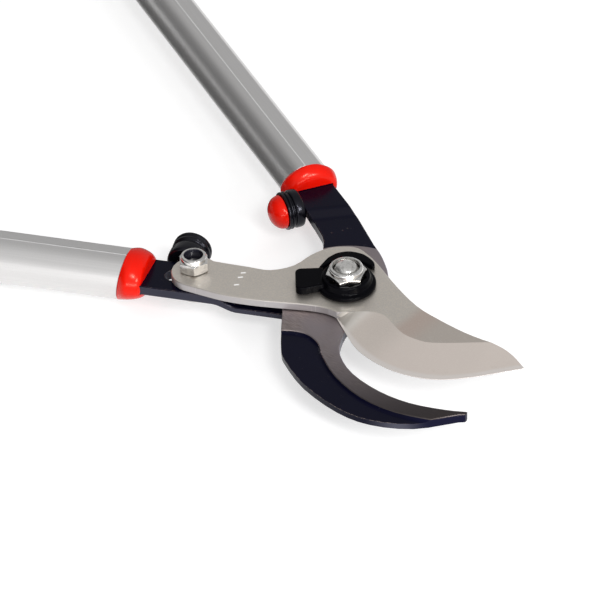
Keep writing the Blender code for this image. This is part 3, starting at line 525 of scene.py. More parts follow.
def coated_steel(colours, bare_band):
    """Blue-black coating, worn at its edges, with painted sheen and highlights; on the hook the
    inner band is left bare.
    """
    look = new_look("coated_hook" if bare_band else "coated_arm")
    place = look.place()
    coat, bare = colours.coating, colours.bare
    cloud = look.noise(place, 40.0, 4.0, 0.55)
    pits = look.noise(place, 700.0, 2.0, 0.6)
    dust = look.patches(place, 260.0, 5.0, 0.75, 0.60, 0.74)
    scuff = look.patches(place, 420.0, 4.0, 0.7, 0.42, 0.64)
    # Painted sheen lightens the walls, except those facing between the levers, which stay dark as
    # painted shade
    inward = look.toward(look.facing(), SHADED_INNER_WALLS)
    wall = look.ramp(look.upward(), 0.55, 0.30) * look.ramp(inward, 0.45, 0.05)
    base = look.layers(look.tones(cloud, coat, 0.75, 1.5),
                       (dust * 0.06, (0.13, 0.12, 0.12)),
                       (wall, look.tones(cloud, colours.wall, 0.8, 1.2)),
                       # Edges: scuffed wear, and on every edge a faint lighter line that is a
                       # painted highlight
                       (look.edge(0.5) * (0.12 + 0.75 * scuff), (0.22, 0.18, 0.165)))
    rough = 0.17 + 0.05 * pits + 0.06 * cloud + 0.12 * dust
    metal, height = 0.0, pits
    if bare_band:
        x, y, z = look.axes(place)
        reach = look.away(place)
        top = look.ramp(z, *BARE_TOP)
        round_pivot = look.ramp(reach, FACING_RADIUS + 0.2, FACING_RADIUS - 0.2)
        jaw = look.ramp(x, -20.0, -18.0) * look.ramp(y, 10.0, 0.0)
        metal = top * look.ramp(round_pivot + jaw, 0.2, 0.8)
        base = look.mix(look.ramp(x, 76.0, 90.0), base, toned(coat, 2.0))
        for pit_x, pit_y in PITS:
            pit = look.spot(x - pit_x, y - pit_y, PIT_HALF_SIZE)
            pits = pits - pit * 8.0
            base = look.mix(pit * 0.5, base, (0.05, 0.042, 0.038))
        # Painted sheen: a lighter band across the arm at its bend
        bend_sheen = x * BEND_SHEEN_WAY[0] + y * BEND_SHEEN_WAY[1]
        bend_sheen = look.ramp(bend_sheen, *BEND_SHEEN_FROM) * look.ramp(bend_sheen, *BEND_SHEEN_TO)
        grain = look.noise(look.place((260.0, 2400.0, 300.0)), 1.0, 3.0, 0.65)
        steel = look.layers(look.tones(look.ramp(grain, 0.35, 0.68), bare, 0.72, 1.26),
                            (look.ramp(cloud, 0.35, 0.65), tinted(bare, (0.95, 0.98, 1.06))),
                            (look.ramp(reach, 20.0, 100.0) * 0.92, toned(bare, 0.12)))
        base = look.layers(base, (bend_sheen * top * 0.35, (0.019, 0.018, 0.025)), (metal, steel))
        rough = rough + metal * (0.14 + 0.08 * grain)
        height = pits * (1.0 - 0.6 * metal) + grain * metal
    return look.surface(base, rough, {"Metallic": metal, "Normal": look.bump(height, 0.03),
                                      "Specular IOR Level": 0.11,
                                      "Specular Tint": (0.80, 0.82, 1.0, 1.0)})


def bright_steel(colours, bore=None):
    """Plated steel with fine scratches and dark traces; a lock nut's bore has a black insert,
    painted shade on a bolt's end in it.
    """
    look = new_look("lock_nut_steel" if bore else "bright_steel")
    place = look.place()
    cloud = look.noise(place, 160.0, 4.0, 0.6)
    scratch = look.patches(look.place((300.0, 2600.0, 500.0)), 1.0, 4.0, 0.7, 0.55, 0.72)
    grime = look.patches(place, 420.0, 4.0, 0.7, 0.60, 0.74)
    dull = look.patches(place, 330.0, 3.0, 0.6, 0.46, 0.60)
    base = look.layers(look.tones(cloud, colours.bright, 0.95, 1.15),
                       (grime * 0.35, (0.30, 0.27, 0.23)),
                       (dull * 0.35, (0.33, 0.32, 0.32)))
    rough = 0.14 + 0.06 * cloud + 0.08 * scratch + 0.10 * grime
    metal = 1.0
    if bore:
        x, y, radius, low = bore
        # The black inside the bore is the nut's insert; on a bolt's end in it, it is painted shade
        insert_and_shade = look.ramp(look.away(place, x, y), radius + 0.12, radius - 0.12)
        insert_and_shade = insert_and_shade * look.ramp(look.axes(place)[2], low, low + 0.3)
        base = look.mix(insert_and_shade, base, (0.012, 0.012, 0.020))
        rough = rough + 0.15 * insert_and_shade
        metal = 1.0 - insert_and_shade
    normal = look.bump(scratch * 0.5 + cloud * 0.5, 0.004, 0.4)
    return look.surface(base, rough, {"Metallic": metal, "Normal": normal})


def red_plastic(colours):
    """Glossy moulded plastic with faint flow marks and handling scuffs."""
    look = new_look("red_plastic")
    place = look.place()
    cloud = look.noise(place, 70.0, 3.0)
    scuff = look.patches(place, 520.0, 4.0, 0.7, 0.60, 0.76)
    base = look.mix(scuff * 0.06, look.tones(cloud, colours.red, 0.86, 1.12),
                    tinted(colours.red, (1.1, 3.3, 3.3)))
    return look.surface(base, 0.19 + 0.03 * cloud + 0.04 * scuff,
                        {"Normal": look.bump(look.noise(place, 200.0), 0.005, 0.2),
                         "Specular IOR Level": 0.30, "Specular Tint": (1.0, 0.72, 0.58, 1.0)})


def black_plastic(colours):
    """Glossy black plastic with fine scratches."""
    look = new_look("black_plastic")
    cloud = look.noise(look.place(), 120.0, 3.0)
    scratch = look.patches(look.place((500.0, 3000.0, 800.0)), 1.0, 4.0, 0.7, 0.60, 0.75)
    return look.surface(look.tones(cloud, colours.plastic, 0.7, 1.5),
                        0.14 + 0.06 * cloud + 0.12 * scratch,
                        {"Normal": look.bump(cloud + scratch * 0.3, 0.01, 0.4),
                         "Specular IOR Level": 0.04})


def black_rubber(colours):
    """Moulded rubber of the bumper cups, smooth with a dull bloom."""
    look = new_look("black_rubber")
    place = look.place()
    cloud = look.noise(place, 130.0, 3.0)
    bloom = look.patches(place, 380.0, 4.0, 0.7, 0.50, 0.72)
    base = look.mix(bloom * 0.04, look.tones(cloud, colours.rubber, 0.75, 1.5),
                    (0.03, 0.03, 0.035))
    return look.surface(base, 0.19 + 0.03 * cloud + 0.05 * bloom,
                        {"Normal": look.bump(look.noise(place, 260.0), 0.006, 0.3),
                         "Specular IOR Level": 0.30, "Specular Tint": (0.85, 0.85, 1.0, 1.0)})


def anodised_tube(colours):
    """Satin anodised aluminium with drawing lines and a seam along the tube, its bright line a
    painted highlight.
    """
    look = new_look("anodised_tube")
    place = look.place()
    y, z = look.axes(place)[1:]
    tube = colours.tube
    cloud = look.noise(place, 22.0, 3.0)
    lines = look.noise(look.place((6.0, 1600.0, 1600.0)), 1.0, 3.0, 0.6)
    speck = look.noise(place, 1900.0, 2.0, 0.6)
    # The seam's lighter, less metallic line is a painted highlight
    seam = look.ramp(z, 0.0, 1.0) * look.ramp(abs(y - SEAM_SIDE), 0.34, 0.10)
    base = look.layers(look.tones(cloud, tube, 0.95, 1.04),
                       (look.ramp(lines, 0.40, 0.70) * 0.35, toned(tube, 1.12)),
                       (look.ramp(speck, 0.45, 0.80) * 0.20, toned(tube, 0.80)),
                       (seam * 0.5, (0.95, 0.95, 0.95)))
    normal = look.bump(lines * 0.6 + speck * 0.4 + seam * 3.0, 0.02)
    return look.surface(base, 0.29 + 0.07 * lines + 0.07 * speck,
                        {"Metallic": 1.0 - 0.6 * seam, "Normal": normal})


def soft_grip(colours):
    """Foamed grip rubber with a fine leathery grain."""
    look = new_look("soft_grip")
    place = look.place()
    cloud = look.noise(place, 60.0, 4.0, 0.6)
    bloom = look.patches(place, 200.0, 5.0, 0.7, 0.52, 0.74)
    cells = look.node("ShaderNodeTexVoronoi", {"feature": "F1"}, {"Vector": place, "Scale": 900.0})
    base = look.mix(bloom * 0.20, look.tones(cloud, colours.grip, 0.75, 1.4),
                    (0.07, 0.068, 0.065))
    return look.surface(base, 0.52 + 0.14 * cloud + 0.12 * bloom,
                        {"Normal": look.bump(cells, 0.16, 0.6)})


def bush_bronze(colours):
    """Turned bronze with fine rings and dark oil."""
    look = new_look("bush_bronze")
    rings = look.noise(look.place((200.0, 200.0, 4200.0)), 1.0)
    oil = look.patches(look.place(), 300.0, 4.0, 0.7, 0.45, 0.70)
    base = look.mix(oil * 0.4, look.tones(rings, colours.bush, 0.85, 1.15), (0.10, 0.06, 0.03))
    return look.surface(base, 0.28 + 0.16 * oil,
                        {"Metallic": 1.0, "Normal": look.bump(rings, 0.02)})


def to_mesh(bm):
    """A new mesh with what the mesh code built."""
    mesh = bpy.data.meshes.new("piece")
    bm.to_mesh(mesh)
    bm.free()
    return mesh


def new_mesh(bm):
    """A mesh in metres from mesh code in millimetres, its faces turned outwards."""
    bmesh.ops.remove_doubles(bm, verts=bm.verts, dist=0.0005)
    bmesh.ops.recalc_face_normals(bm, faces=bm.faces)
    bmesh.ops.scale(bm, vec=(MM, MM, MM), verts=bm.verts)
    return to_mesh(bm)


def in_metres(matrix):
    """A matrix in metres from one in millimetres."""
    place = matrix.copy()
    place.translation = matrix.translation * MM
    return place


def new_object(name, data, matrix=None):
    """An object, placed by a matrix in millimetres."""
    made = bpy.data.objects.new(name, data)
    bpy.context.scene.collection.objects.link(made)
    if matrix:
        made.matrix_world = in_metres(matrix)
    return made


def shade(mesh):
    """Smooth shading that keeps sharp edges."""
    mesh.shade_smooth()
    mesh.set_sharp_from_angle(angle=SHARP_TURN)


def modify(piece, kind, **settings):
    """Add a modifier with its settings."""
    step = piece.modifiers.new(kind.lower(), kind)
    for name, value in settings.items():
        setattr(step, name, value)


def settled(piece, cutters=()):
    """Apply a piece's modifiers to its mesh and remove the forms that cut it."""
    bpy.context.view_layer.update()
    seen = piece.evaluated_get(bpy.context.evaluated_depsgraph_get())
    mesh = bpy.data.meshes.new_from_object(seen)
    piece.modifiers.clear()
    piece.data = mesh
    for cutter in cutters:
        bpy.data.objects.remove(cutter)
    return piece


def combine(piece, steps):
    """Cut, join or intersect a piece with other forms, given with the operation's name."""
    for operation, other in steps:
        modify(piece, "BOOLEAN", operation=operation, object=other, solver="EXACT")
    return settled(piece, [other for operation, other in steps])


def rounded(piece, width, segments, angle):
    """Round a piece's edges that are sharper than an angle, by a width in millimetres."""
    modify(piece, "BEVEL", width=width * MM, segments=segments, limit_method="ANGLE",
           angle_limit=radians(angle), use_clamp_overlap=True)
    return settled(piece)


def flattened(piece):
    """Let a piece's wide faces lead the shading beside their rounded edges."""
    modify(piece, "WEIGHTED_NORMAL", keep_sharp=True, weight=50)
    return settled(piece)


def faceted(piece):
    """Round a nut's or bolt's edges and keep its facets flat."""
    rounded(piece, 0.22, 2, 34.0)
    shade(piece.data)
    return flattened(piece)


def creased(piece, least):
    """Keep hard edges crisp, and the slight ridges where a level face ends."""
    piece.data.shade_smooth()
    bm = bmesh.new()
    bm.from_mesh(piece.data)
    for edge in bm.edges:
        if len(edge.link_faces) == 2:
            turn = edge.calc_face_angle(0.0)
            slopes = sorted(face.normal.z for face in edge.link_faces)
            ridge = 0.5 < slopes[0] < 0.9985 and slopes[1] > 0.9995 and turn > radians(least)
            edge.smooth = not (turn > FORGED_SHARP_TURN or ridge)
    bm.to_mesh(piece.data)
    bm.free()
    return flattened(piece)


def refined(node, hollow=None):
    """A finer copy of a node: edges rounded, and hollow corners at one height filled."""
    bm = bmesh.new()
    bm.from_mesh(NODES[node].data)
    bmesh.ops.remove_doubles(bm, verts=bm.verts, dist=WELD * MM)
    bmesh.ops.dissolve_limit(bm, angle_limit=radians(0.4), verts=bm.verts, edges=bm.edges)
    if hollow:
        height, radius = hollow
        corners = [edge for edge in bm.edges if len(edge.link_faces) == 2 and not edge.is_convex
                   and edge.calc_face_angle(0.0) > radians(30.0)
                   and all(abs(vert.co.z - height * MM) < 0.05 * MM for vert in edge.verts)]
        bmesh.ops.bevel(bm, geom=corners, offset=radius * MM, segments=5, profile=0.5,
                        affect="EDGES", clamp_overlap=True)
    return rounded(new_object(node, to_mesh(bm)), EDGE_ROUND, 3, 33.0)


def melted(forms, grain):
    """Melt overlapping forms into one moulded form with soft edges."""
    bm = bmesh.new()
    for form in forms:
        form.data.transform(form.matrix_world)
        bm.from_mesh(form.data)
        bpy.data.objects.remove(form)
    piece = new_object("melted", to_mesh(bm))
    modify(piece, "REMESH", mode="VOXEL", voxel_size=grain * MM)
    modify(piece, "SMOOTH", factor=0.5, iterations=3)
    return settled(piece)


def worn_by(piece, look, body, slot, *nodes, shaded=True):
    """Give a piece its finish and its body, name it after the CAD nodes that it stands for and hide
    them; its slot is not used.
    """
    piece.name = nodes[0] + "_fine"
    piece.data.materials.clear()
    piece.data.materials.append(look)
    if shaded:
        shade(piece.data)
    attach(piece, body)
    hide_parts(*nodes)


def dress(node, look):
    """Give a CAD node a finish and smooth its round faces."""
    item = NODES[node]
    item.data.materials.clear()
    item.data.materials.append(look)
    modify(item, "WELD", merge_threshold=WELD * MM)
    modify(item, "EDGE_SPLIT", split_angle=radians(30), use_edge_sharp=False)
    item.data.shade_smooth()


def arc(centre, radius, start, end, steps):
    """Points along an arc, angles in degrees."""
    turns = [radians(start + (end - start) * i / steps) for i in range(steps + 1)]
    return [(centre[0] + radius * cos(a), centre[1] + radius * sin(a)) for a in turns]


def curve(points, steps):
    """A smooth curve through the points."""
    first = (2 * points[0][0] - points[1][0], 2 * points[0][1] - points[1][1])
    last = (2 * points[-1][0] - points[-2][0], 2 * points[-1][1] - points[-2][1])
    run = [first] + list(points) + [last]
    made = []
    for a, b, c, d in zip(run, run[1:], run[2:], run[3:]):
        for i in range(steps):
            t = i / steps
            made.append(tuple(0.5 * (2 * b[k] + (c[k] - a[k]) * t
                                     + (2 * a[k] - 5 * b[k] + 4 * c[k] - d[k]) * t * t
                                     + (3 * b[k] - a[k] - 3 * c[k] + d[k]) * t ** 3)
                              for k in range(2)))
    made.append(tuple(points[-1]))
    return made


def softened(profile, radius, steps=4):
    """A profile whose corners are rounded by up to a radius."""
    made = [profile[0]]
    for before, here, after in zip(profile, profile[1:], profile[2:]):
        p = Vector(here)
        back, on = Vector(before) - p, Vector(after) - p
        reach = min(radius, back.length * 0.45, on.length * 0.45)
        if reach < 0.02:
            made.append(here)
            continue
        a, b = p + back.normalized() * reach, p + on.normalized() * reach
        for i in range(steps + 1):
            t = i / steps
            made.append(tuple(a * (1 - t) ** 2 + p * 2 * t * (1 - t) + b * t * t))
    made.append(profile[-1])
    return made


def inset(outline, width):
    """An anticlockwise outline moved inwards."""
    made = []
    for i, point in enumerate(outline):
        before, after = outline[i - 1], outline[(i + 1) % len(outline)]
        first = Vector((point[0] - before[0], point[1] - before[1])).normalized()
        second = Vector((after[0] - point[0], after[1] - point[1])).normalized()
        inward = Vector((-first.y - second.y, first.x + second.x)).normalized()
        slant = max(0.5, inward.dot(Vector((-first.y, first.x))))
        made.append((point[0] + inward.x * width / slant, point[1] + inward.y * width / slant))
    return made


def oval(x, half_width, half_height, rise=0.0, lean=(0.0, 0.0), sides=SIDES):
    """An oval ring across the X axis, which may be raised, or lean along X with Y and Z."""
    turns = [2 * pi * i / sides for i in range(sides)]
    points = [(half_width * cos(a), half_height * sin(a)) for a in turns]
    return [(x + lean[0] * y + lean[1] * z, y, z + rise) for y, z in points]


def lofted(loops, ring=False):
    """A mesh over loops of equal count, capped at its ends unless it closes on itself."""
    bm = bmesh.new()
    rows = [[bm.verts.new(point) for point in loop] for loop in loops]
    pairs = list(zip(rows, rows[1:]))
    if ring:
        pairs.append((rows[-1], rows[0]))
    for lower, upper in pairs:
        for i in range(len(lower)):
            j = (i + 1) % len(lower)
            bm.faces.new((lower[i], lower[j], upper[j], upper[i]))
    if not ring:
        bm.faces.new(rows[0])
        bm.faces.new(rows[-1])
    return new_mesh(bm)


def turned(profile, sides=SIDES, ring=False):
    """A mesh turned about its X axis from points of distance and radius."""
    rounds = [(x, max(radius, 0.0004)) for x, radius in profile]
    return lofted([oval(x, r, r, sides=sides) for x, r in rounds], ring)


def upright(x=0.0, y=0.0, z=0.0):
    """The frame of a turned form: its axis points up from a place."""
    return Matrix.Translation((x, y, z)) @ Matrix.Rotation(radians(-90), 4, "Y")


def prism(outline, bottom, top):
    """An upright form with the same outline at both ends."""
    return lofted([[(x, y, z) for x, y in outline] for z in (bottom, top)])


def block(start, end, right, left, deep):
    """A plain form for cutting a slot, as high above as below."""
    return prism([(start, right), (end, right), (end, left), (start, left)], -deep, deep)


def slab(outline, bottom, top, bevel):
    """A flat form with its upper edge rounded."""
    loops = [[(x, y, bottom) for x, y in outline]]
    steps = 4
    for i in range(steps + 1):
        a = radians(90 * i / steps)
        small = inset(outline, bevel * (1 - cos(a)))
        loops.append([(x, y, top - bevel + bevel * sin(a)) for x, y in small])
    return lofted(loops)


def hexagon(flats, bottom, top, x, y, turn):
    """A six-sided prism chamfered at both ends."""
    corner = flats / 2 / cos(pi / 6)
    outline = arc((x, y), corner, turn, turn + 300, 5)
    body = new_object("hexagon", prism(outline, bottom, top))
    flank, wide = flats / 2 * 0.97, corner + 0.5
    fall = (wide - flank) * tan(radians(30))
    barrel = turned([(top, flank), (top - fall, wide), (bottom + fall, wide), (bottom, flank)])
    return combine(body, [("INTERSECT", new_object("chamfer", barrel, upright(x, y)))])


def lock_nut(flats, base, hex_height, ring_height, ring_diameter, bolt, x, y, turn):
    """A lock nut: a chamfered hexagon under a round ring, bored through."""
    body = hexagon(flats, base, base + hex_height, x, y, turn)
    top = base + hex_height + ring_height
    r = ring_diameter / 2
    ring = [(base + hex_height / 2, r - 1), (base + hex_height, r), (top - 0.9, r),
            (top - 0.25, r - 0.5), (top, r - 1.1)]
    mouth = r - 1.5
    hole = [(base - 2, bolt + GAP), (top - 1.5, bolt + GAP), (top - 0.5, mouth - 0.2),
            (top - 0.1, mouth), (top + 2, mouth)]
    crown = new_object("ring", turned(softened(ring, 0.5)), upright(x, y))
    bore = new_object("bore", turned(hole), upright(x, y))
    return faceted(combine(body, [("UNION", crown), ("DIFFERENCE", bore)]))


def lever_matrix(lever):
    """The frame of a handle: X outwards along its axis, Y to its left, Z up."""
    place = Matrix.Translation((0, lever.offset, lever.height))
    return Matrix.Rotation(radians(lever.angle), 4, "Z") @ place


def bumper_matrix(lever):
    """The frame of a bumper: X away from the arm's inner edge."""
    across = lever.arm_shift + lever.side * lever.arm_width / 2
    edge = Matrix.Translation((lever.station, across, 0))
    return lever_matrix(lever) @ edge @ Matrix.Rotation(radians(90 * lever.side), 4, "Z")


def tube_halves(sizes):
    """Half of the tube's width and half of its height, in millimetres."""
    return sizes.tube_width / MM / 2, sizes.tube_height / MM / 2


def rim_lean(lever, sizes):
    """How far the collar's rim leans along the handle for each mm across and up."""
    wide, tall = tube_halves(sizes)
    return (RIM_SLANT / wide, -lever.slant / tall)


class PieceOperator:
    """What every piece's operator shares."""
    bl_options = {"REGISTER", "UNDO"}

    def execute(self, context):
        self.make(context.scene.lopper_sizes, context.scene.lopper_colours)
        return {"FINISHED"}


class LOPPER_OT_blade(PieceOperator, bpy.types.Operator):
    """Ground steel on the cutting blade"""
    bl_idname = "lopper.blade"
    bl_label = "Cutting blade"

    def make(self, sizes, colours):
        piece = creased(refined("cutting_blade"), 3.0)
        worn_by(piece, blade_steel(colours), "blade_lever", "blade_steel", "cutting_blade",
                shaded=False)


class LOPPER_OT_hook(PieceOperator, bpy.types.Operator):
    """Coating and bare inner band on the hook"""
    bl_idname = "lopper.hook"
    bl_label = "Hook"

    def make(self, sizes, colours):
        piece = creased(refined("hook", (FLANK_TOP, FLANK_FILLET)), 30.0)
        worn_by(piece, coated_steel(colours, True), "hook_lever", "black_steel", "hook",
                shaded=False)


class LOPPER_OT_arm(PieceOperator, bpy.types.Operator):
    """Coating on the blade's arm"""
    bl_idname = "lopper.arm"
    bl_label = "Blade arm"

    def make(self, sizes, colours):
        piece = creased(refined("blade_arm"), 30.0)
        worn_by(piece, coated_steel(colours, False), "blade_lever", "black_steel", "blade_arm",
                shaded=False)


class LOPPER_OT_tubes(PieceOperator, bpy.types.Operator):
    """The oval handle tubes with their flat and drawing lines"""
    bl_idname = "lopper.tubes"
    bl_label = "Handle tubes"

    def make(self, sizes, colours):
        look = anodised_tube(colours)
        square = (0.0, 0.0)
        for lever in LEVERS:
            lean = rim_lean(lever, sizes)
            start = lever.rim + RIM_SEAM
            rows = ((0.0, start + TUBE_CHAMFER, lean), (TUBE_CHAMFER, start, lean),
                    (TUBE_WALL, start, lean), (TUBE_WALL, TUBE_END, square),
                    (0.0, TUBE_END, square))
            loops = [[(x + tilt[0] * y + tilt[1] * z, y, z) for y, z in self.section(sizes, wall)]
                     for wall, x, tilt in rows]
            piece = new_object("tube", lofted(loops, ring=True), lever_matrix(lever))
            worn_by(piece, look, lever.body, "tube_aluminium", lever.name + "_tube")

    def section(self, sizes, wall):
        """The oval with one flat along its upper side, eased into the round."""
        wide, tall = (half - wall for half in tube_halves(sizes))
        first, last = (radians(side) for side in TUBE_FLAT)
        count = SIDES - FLAT_POINTS
        turns = [first + (2 * pi - first + last) * i / (count - 1) for i in range(count)]
        made = [(wide * sin(a), tall * cos(a)) for a in turns]
        (y0, z0), (y1, z1) = made[0], made[-1]
        made[0] = (y0 * 1.006, z0 + 0.10)
        for i in range(1, FLAT_POINTS + 1):
            t = i / (FLAT_POINTS + 1)
            made.append((y1 + (y0 - y1) * t, z1 + (z0 - z1) * t))
        return made


class LOPPER_OT_collars(PieceOperator, bpy.types.Operator):
    """The red oval collars on the tubes' front ends"""
    bl_idname = "lopper.collars"
    bl_label = "Collars"

    def make(self, sizes, colours):
        look = red_plastic(colours)
        for lever in LEVERS:
            self.collar(sizes, look, lever)

    def collar(self, sizes, look, lever):
        """One collar: a swelling bell with a lip, its spigot and the slot for the tang."""
        length, bulge = sizes.collar_length / MM, sizes.collar_bulge / MM
        wide, tall = tube_halves(sizes)
        front_wide, front_tall = COLLAR_FRONT
        rim, front = lever.rim, lever.rim - length
        lean = rim_lean(lever, sizes)
        inside = cos(radians(TUBE_FLAT[0] - TUBE_FLAT[1]) / 2)
        spigot = [(half - TUBE_WALL) * inside - GAP for half in (wide, tall)]
        end = rim + SPIGOT_LENGTH
        loops = [oval(end, spigot[0] - 0.6, spigot[1] - 0.6), oval(end - 0.8, *spigot),
                 oval(rim, *spigot, 0.0, lean), oval(rim, wide - 0.1, tall - 0.2, 0.0, lean),
                 oval(rim - 0.1, wide + 0.2, tall + 0.05, 0.0, lean)]
        for i in range(1, COLLAR_STEPS + 1):
            a = radians(90 * i / COLLAR_STEPS)
            share = 1 - sin(a) ** 1.3 if i < COLLAR_STEPS else 0.0
            swell = sin(min(1.0, 2.2 * (1 - share)) * pi / 2)
            fall = cos(a) ** 0.75 if i < COLLAR_STEPS else 0.0
            half_width = front_wide + (wide + bulge * swell - front_wide) * fall
            half_height = front_tall + (tall - 0.8 * swell - front_tall) * fall
            loops.append(oval(front + share * length, half_width, half_height,
                              0.8 * swell * fall, (lean[0], lean[1] * share)))
        place = lever_matrix(lever)
        piece = new_object("collar", lofted(loops), place)
        deep = lever.thickness / 2 + GAP
        left = lever.arm_shift + lever.arm_width / 2 + GAP
        right = lever.arm_shift - lever.arm_width / 2 - GAP
        shoulder = rim - COLLAR_SHOULDER + GAP
        mouth = new_object("mouth", block(front - 5, shoulder, right, left, deep), place)
        slot = new_object("slot", block(shoulder - 1, end + 5, -TANG_HALF_WIDTH, TANG_HALF_WIDTH,
                                        deep), place)
        combine(piece, [("DIFFERENCE", mouth), ("DIFFERENCE", slot)])
        worn_by(piece, look, lever.body, "red_plastic", lever.name + "_collar")


class LOPPER_OT_bumpers(PieceOperator, bpy.types.Operator):
    """The black cups, red domes and screws of both bumpers"""
    bl_idname = "lopper.bumpers"
    bl_label = "Bumpers"

    def make(self, sizes, colours):
        rubber, red, bright = black_rubber(colours), red_plastic(colours), bright_steel(colours)
        for lever in LEVERS:
            self.cup(sizes, rubber, lever)
            self.dome(red, lever)
            dress(lever.name + "_bumper_screw", bright)

    def cup(self, sizes, look, lever):
        """A cup with a groove between two lips and a pocket for the dome's peg."""
        r = sizes.bumper_diameter / MM / 2
        length, neck = lever.cup, GAP + lever.neck
        outer = [(GAP, CUP_NECK), (neck, CUP_NECK), (neck, r - 1.2), (neck + 0.8, r - 0.15)]
        outer += [(share * length, r + change) for share, change in CUP_LIPS]
        outer.append((length, CUP_POCKET))
        profile = [(GAP, CUP_BORE)] + softened(outer, 0.45)
        profile += [(CUP_FLOOR, CUP_POCKET), (CUP_FLOOR, CUP_BORE)]
        piece = new_object("cup", turned(profile, ring=True), bumper_matrix(lever))
        worn_by(piece, look, lever.body, "bumper_rubber", lever.name + "_bumper_cup")

    def dome(self, look, lever):
        """A dome with a rounded brim and a peg."""
        r, base, peg = lever.brim, lever.cup + GAP, lever.cup - PEG_LENGTH
        profile = [(peg, 0), (peg, PEG_RADIUS), (base, PEG_RADIUS), (base, r - 0.2),
                   (base + 0.15, r - 0.03)]
        for i in range(20):
            a = radians(90 * i / 20)
            profile.append((base + 0.4 + (lever.dome - 0.4) * sin(a), r * cos(a)))
        profile.append((base + lever.dome, 0))
        piece = new_object("dome", turned(profile), bumper_matrix(lever))
        worn_by(piece, look, lever.body, "red_plastic", lever.name + "_bumper_dome")


class LOPPER_OT_grips(PieceOperator, bpy.types.Operator):
    """The soft grips with their flange, ribs and heel"""
    bl_idname = "lopper.grips"
    bl_label = "Grips"

    def make(self, sizes, colours):
        look = soft_grip(colours)
        bore = [half + GAP for half in tube_halves(sizes)]
        wall = bore[1] + GRIP_WALL
        crest, groove = wall + 0.5, wall - 0.6
        start, end = GRIP_START, GRIP_END
        outer = [(start, bore[1] + 1.0)] + [(start + x, r) for x, r in FLANGE]
        outer += [(start + 12, wall + 0.9), (start + 19, wall)]
        for i in range(RIBS):
            x = start + RIB_START + i * RIB_PITCH
            outer += [(x, crest), (x + 6.5, crest), (x + 7.6, groove), (x + 11.7, groove)]
        outer += [(x + RIB_PITCH, crest), (end - 24, crest)] + [(end + x, r) for x, r in HEEL]
        rounds = [(TUBE_END + GAP, *bore), (start, *bore)]
        rounds += [(x, r, r) for x, r in softened(outer, 1.6)]
        for lever in LEVERS:
            mesh = lofted([oval(*values, sides=GRIP_SIDES) for values in rounds])
            mesh.transform(in_metres(lever_matrix(lever)))
            piece = new_object("grip", mesh)
            worn_by(piece, look, lever.body, "grip_rubber", lever.name + "_grip")


class LOPPER_OT_pivot(PieceOperator, bpy.types.Operator):
    """The pivot bolt, its washer, bush and lock nut"""
    bl_idname = "lopper.pivot"
    bl_label = "Pivot"

    def make(self, sizes, colours):
        bright = bright_steel(colours)
        top = NUT_BASE + NUT_HEX + NUT_RING
        nut = lock_nut(sizes.pivot_nut_flats / MM, NUT_BASE, NUT_HEX, NUT_RING,
                       NUT_RING_DIAMETER, BOLT_RADIUS, 0, 0, LOCK_TAB_ANGLE + NUT_TURN)
        worn_by(nut, bright, "blade_lever", "bright_steel", "pivot_nut", shaded=False)
        bolt = hexagon(BOLT_HEAD_FLATS, 0.0, BOLT_HEAD, 0, 0, 0.0)
        shoulder, r = top - BOLT_SHOULDER, BOLT_RADIUS - 0.4
        shank = [(BOLT_HEAD / 2, BOLT_RADIUS), (top - 1.6, BOLT_RADIUS), (shoulder, r)]
        for i in range(1, 20):
            a = radians(90 * i / 20)
            shank.append((shoulder + BOLT_DOME * sin(a), r * cos(a) ** 0.9))
        shank.append((shoulder + BOLT_DOME, 0))
        ball = [(DENT * sin(radians(a)), DENT * cos(radians(a))) for a in range(-90, 91, 10)]
        dent = new_object("dent", turned(ball, 32), upright(*DENT_PLACE, top + 1.7))
        combine(bolt, [("UNION", new_object("shank", turned(shank), upright())),
                       ("DIFFERENCE", dent)])
        worn_by(faceted(bolt), bright, "blade_lever", "bright_steel", "pivot_bolt", shaded=False)
        dress("pivot_washer", bright)
        dress("pivot_bush", bush_bronze(colours))


class LOPPER_OT_tail(PieceOperator, bpy.types.Operator):
    """The bolt and lock nut on the blade's tail"""
    bl_idname = "lopper.tail"
    bl_label = "Tail bolt"

    def make(self, sizes, colours):
        x, y = TAIL_BOLT
        base = BLADE_TOP + GAP
        nut = lock_nut(sizes.tail_nut_flats / MM, base, TAIL_NUT_HEX, TAIL_NUT_RING,
                       TAIL_NUT_RING_DIAMETER, TAIL_BOLT_RADIUS, x, y, TAIL_NUT_TURN)
        bright = bright_steel(colours, (x, y, TAIL_INSERT_RADIUS, BLADE_TOP + 1.0))
        worn_by(nut, bright, "blade_lever", "bright_steel", "tail_nut", shaded=False)
        end, high, r = base + TAIL_BOLT_END, ARM_BOTTOM - GAP, TAIL_HEAD_RADIUS
        low = high - TAIL_HEAD
        profile = [(low, 0), (low, r - 1.3), (low + 0.7, r), (high, r), (high, TAIL_BOLT_RADIUS),
                   (end - 0.9, TAIL_BOLT_RADIUS), (end, TAIL_BOLT_RADIUS - 0.9), (end, 0)]
        bolt = new_object("bolt", turned(softened(profile, 0.35)), upright(x, y))
        worn_by(bolt, bright, "blade_lever", "bright_steel", "tail_bolt")


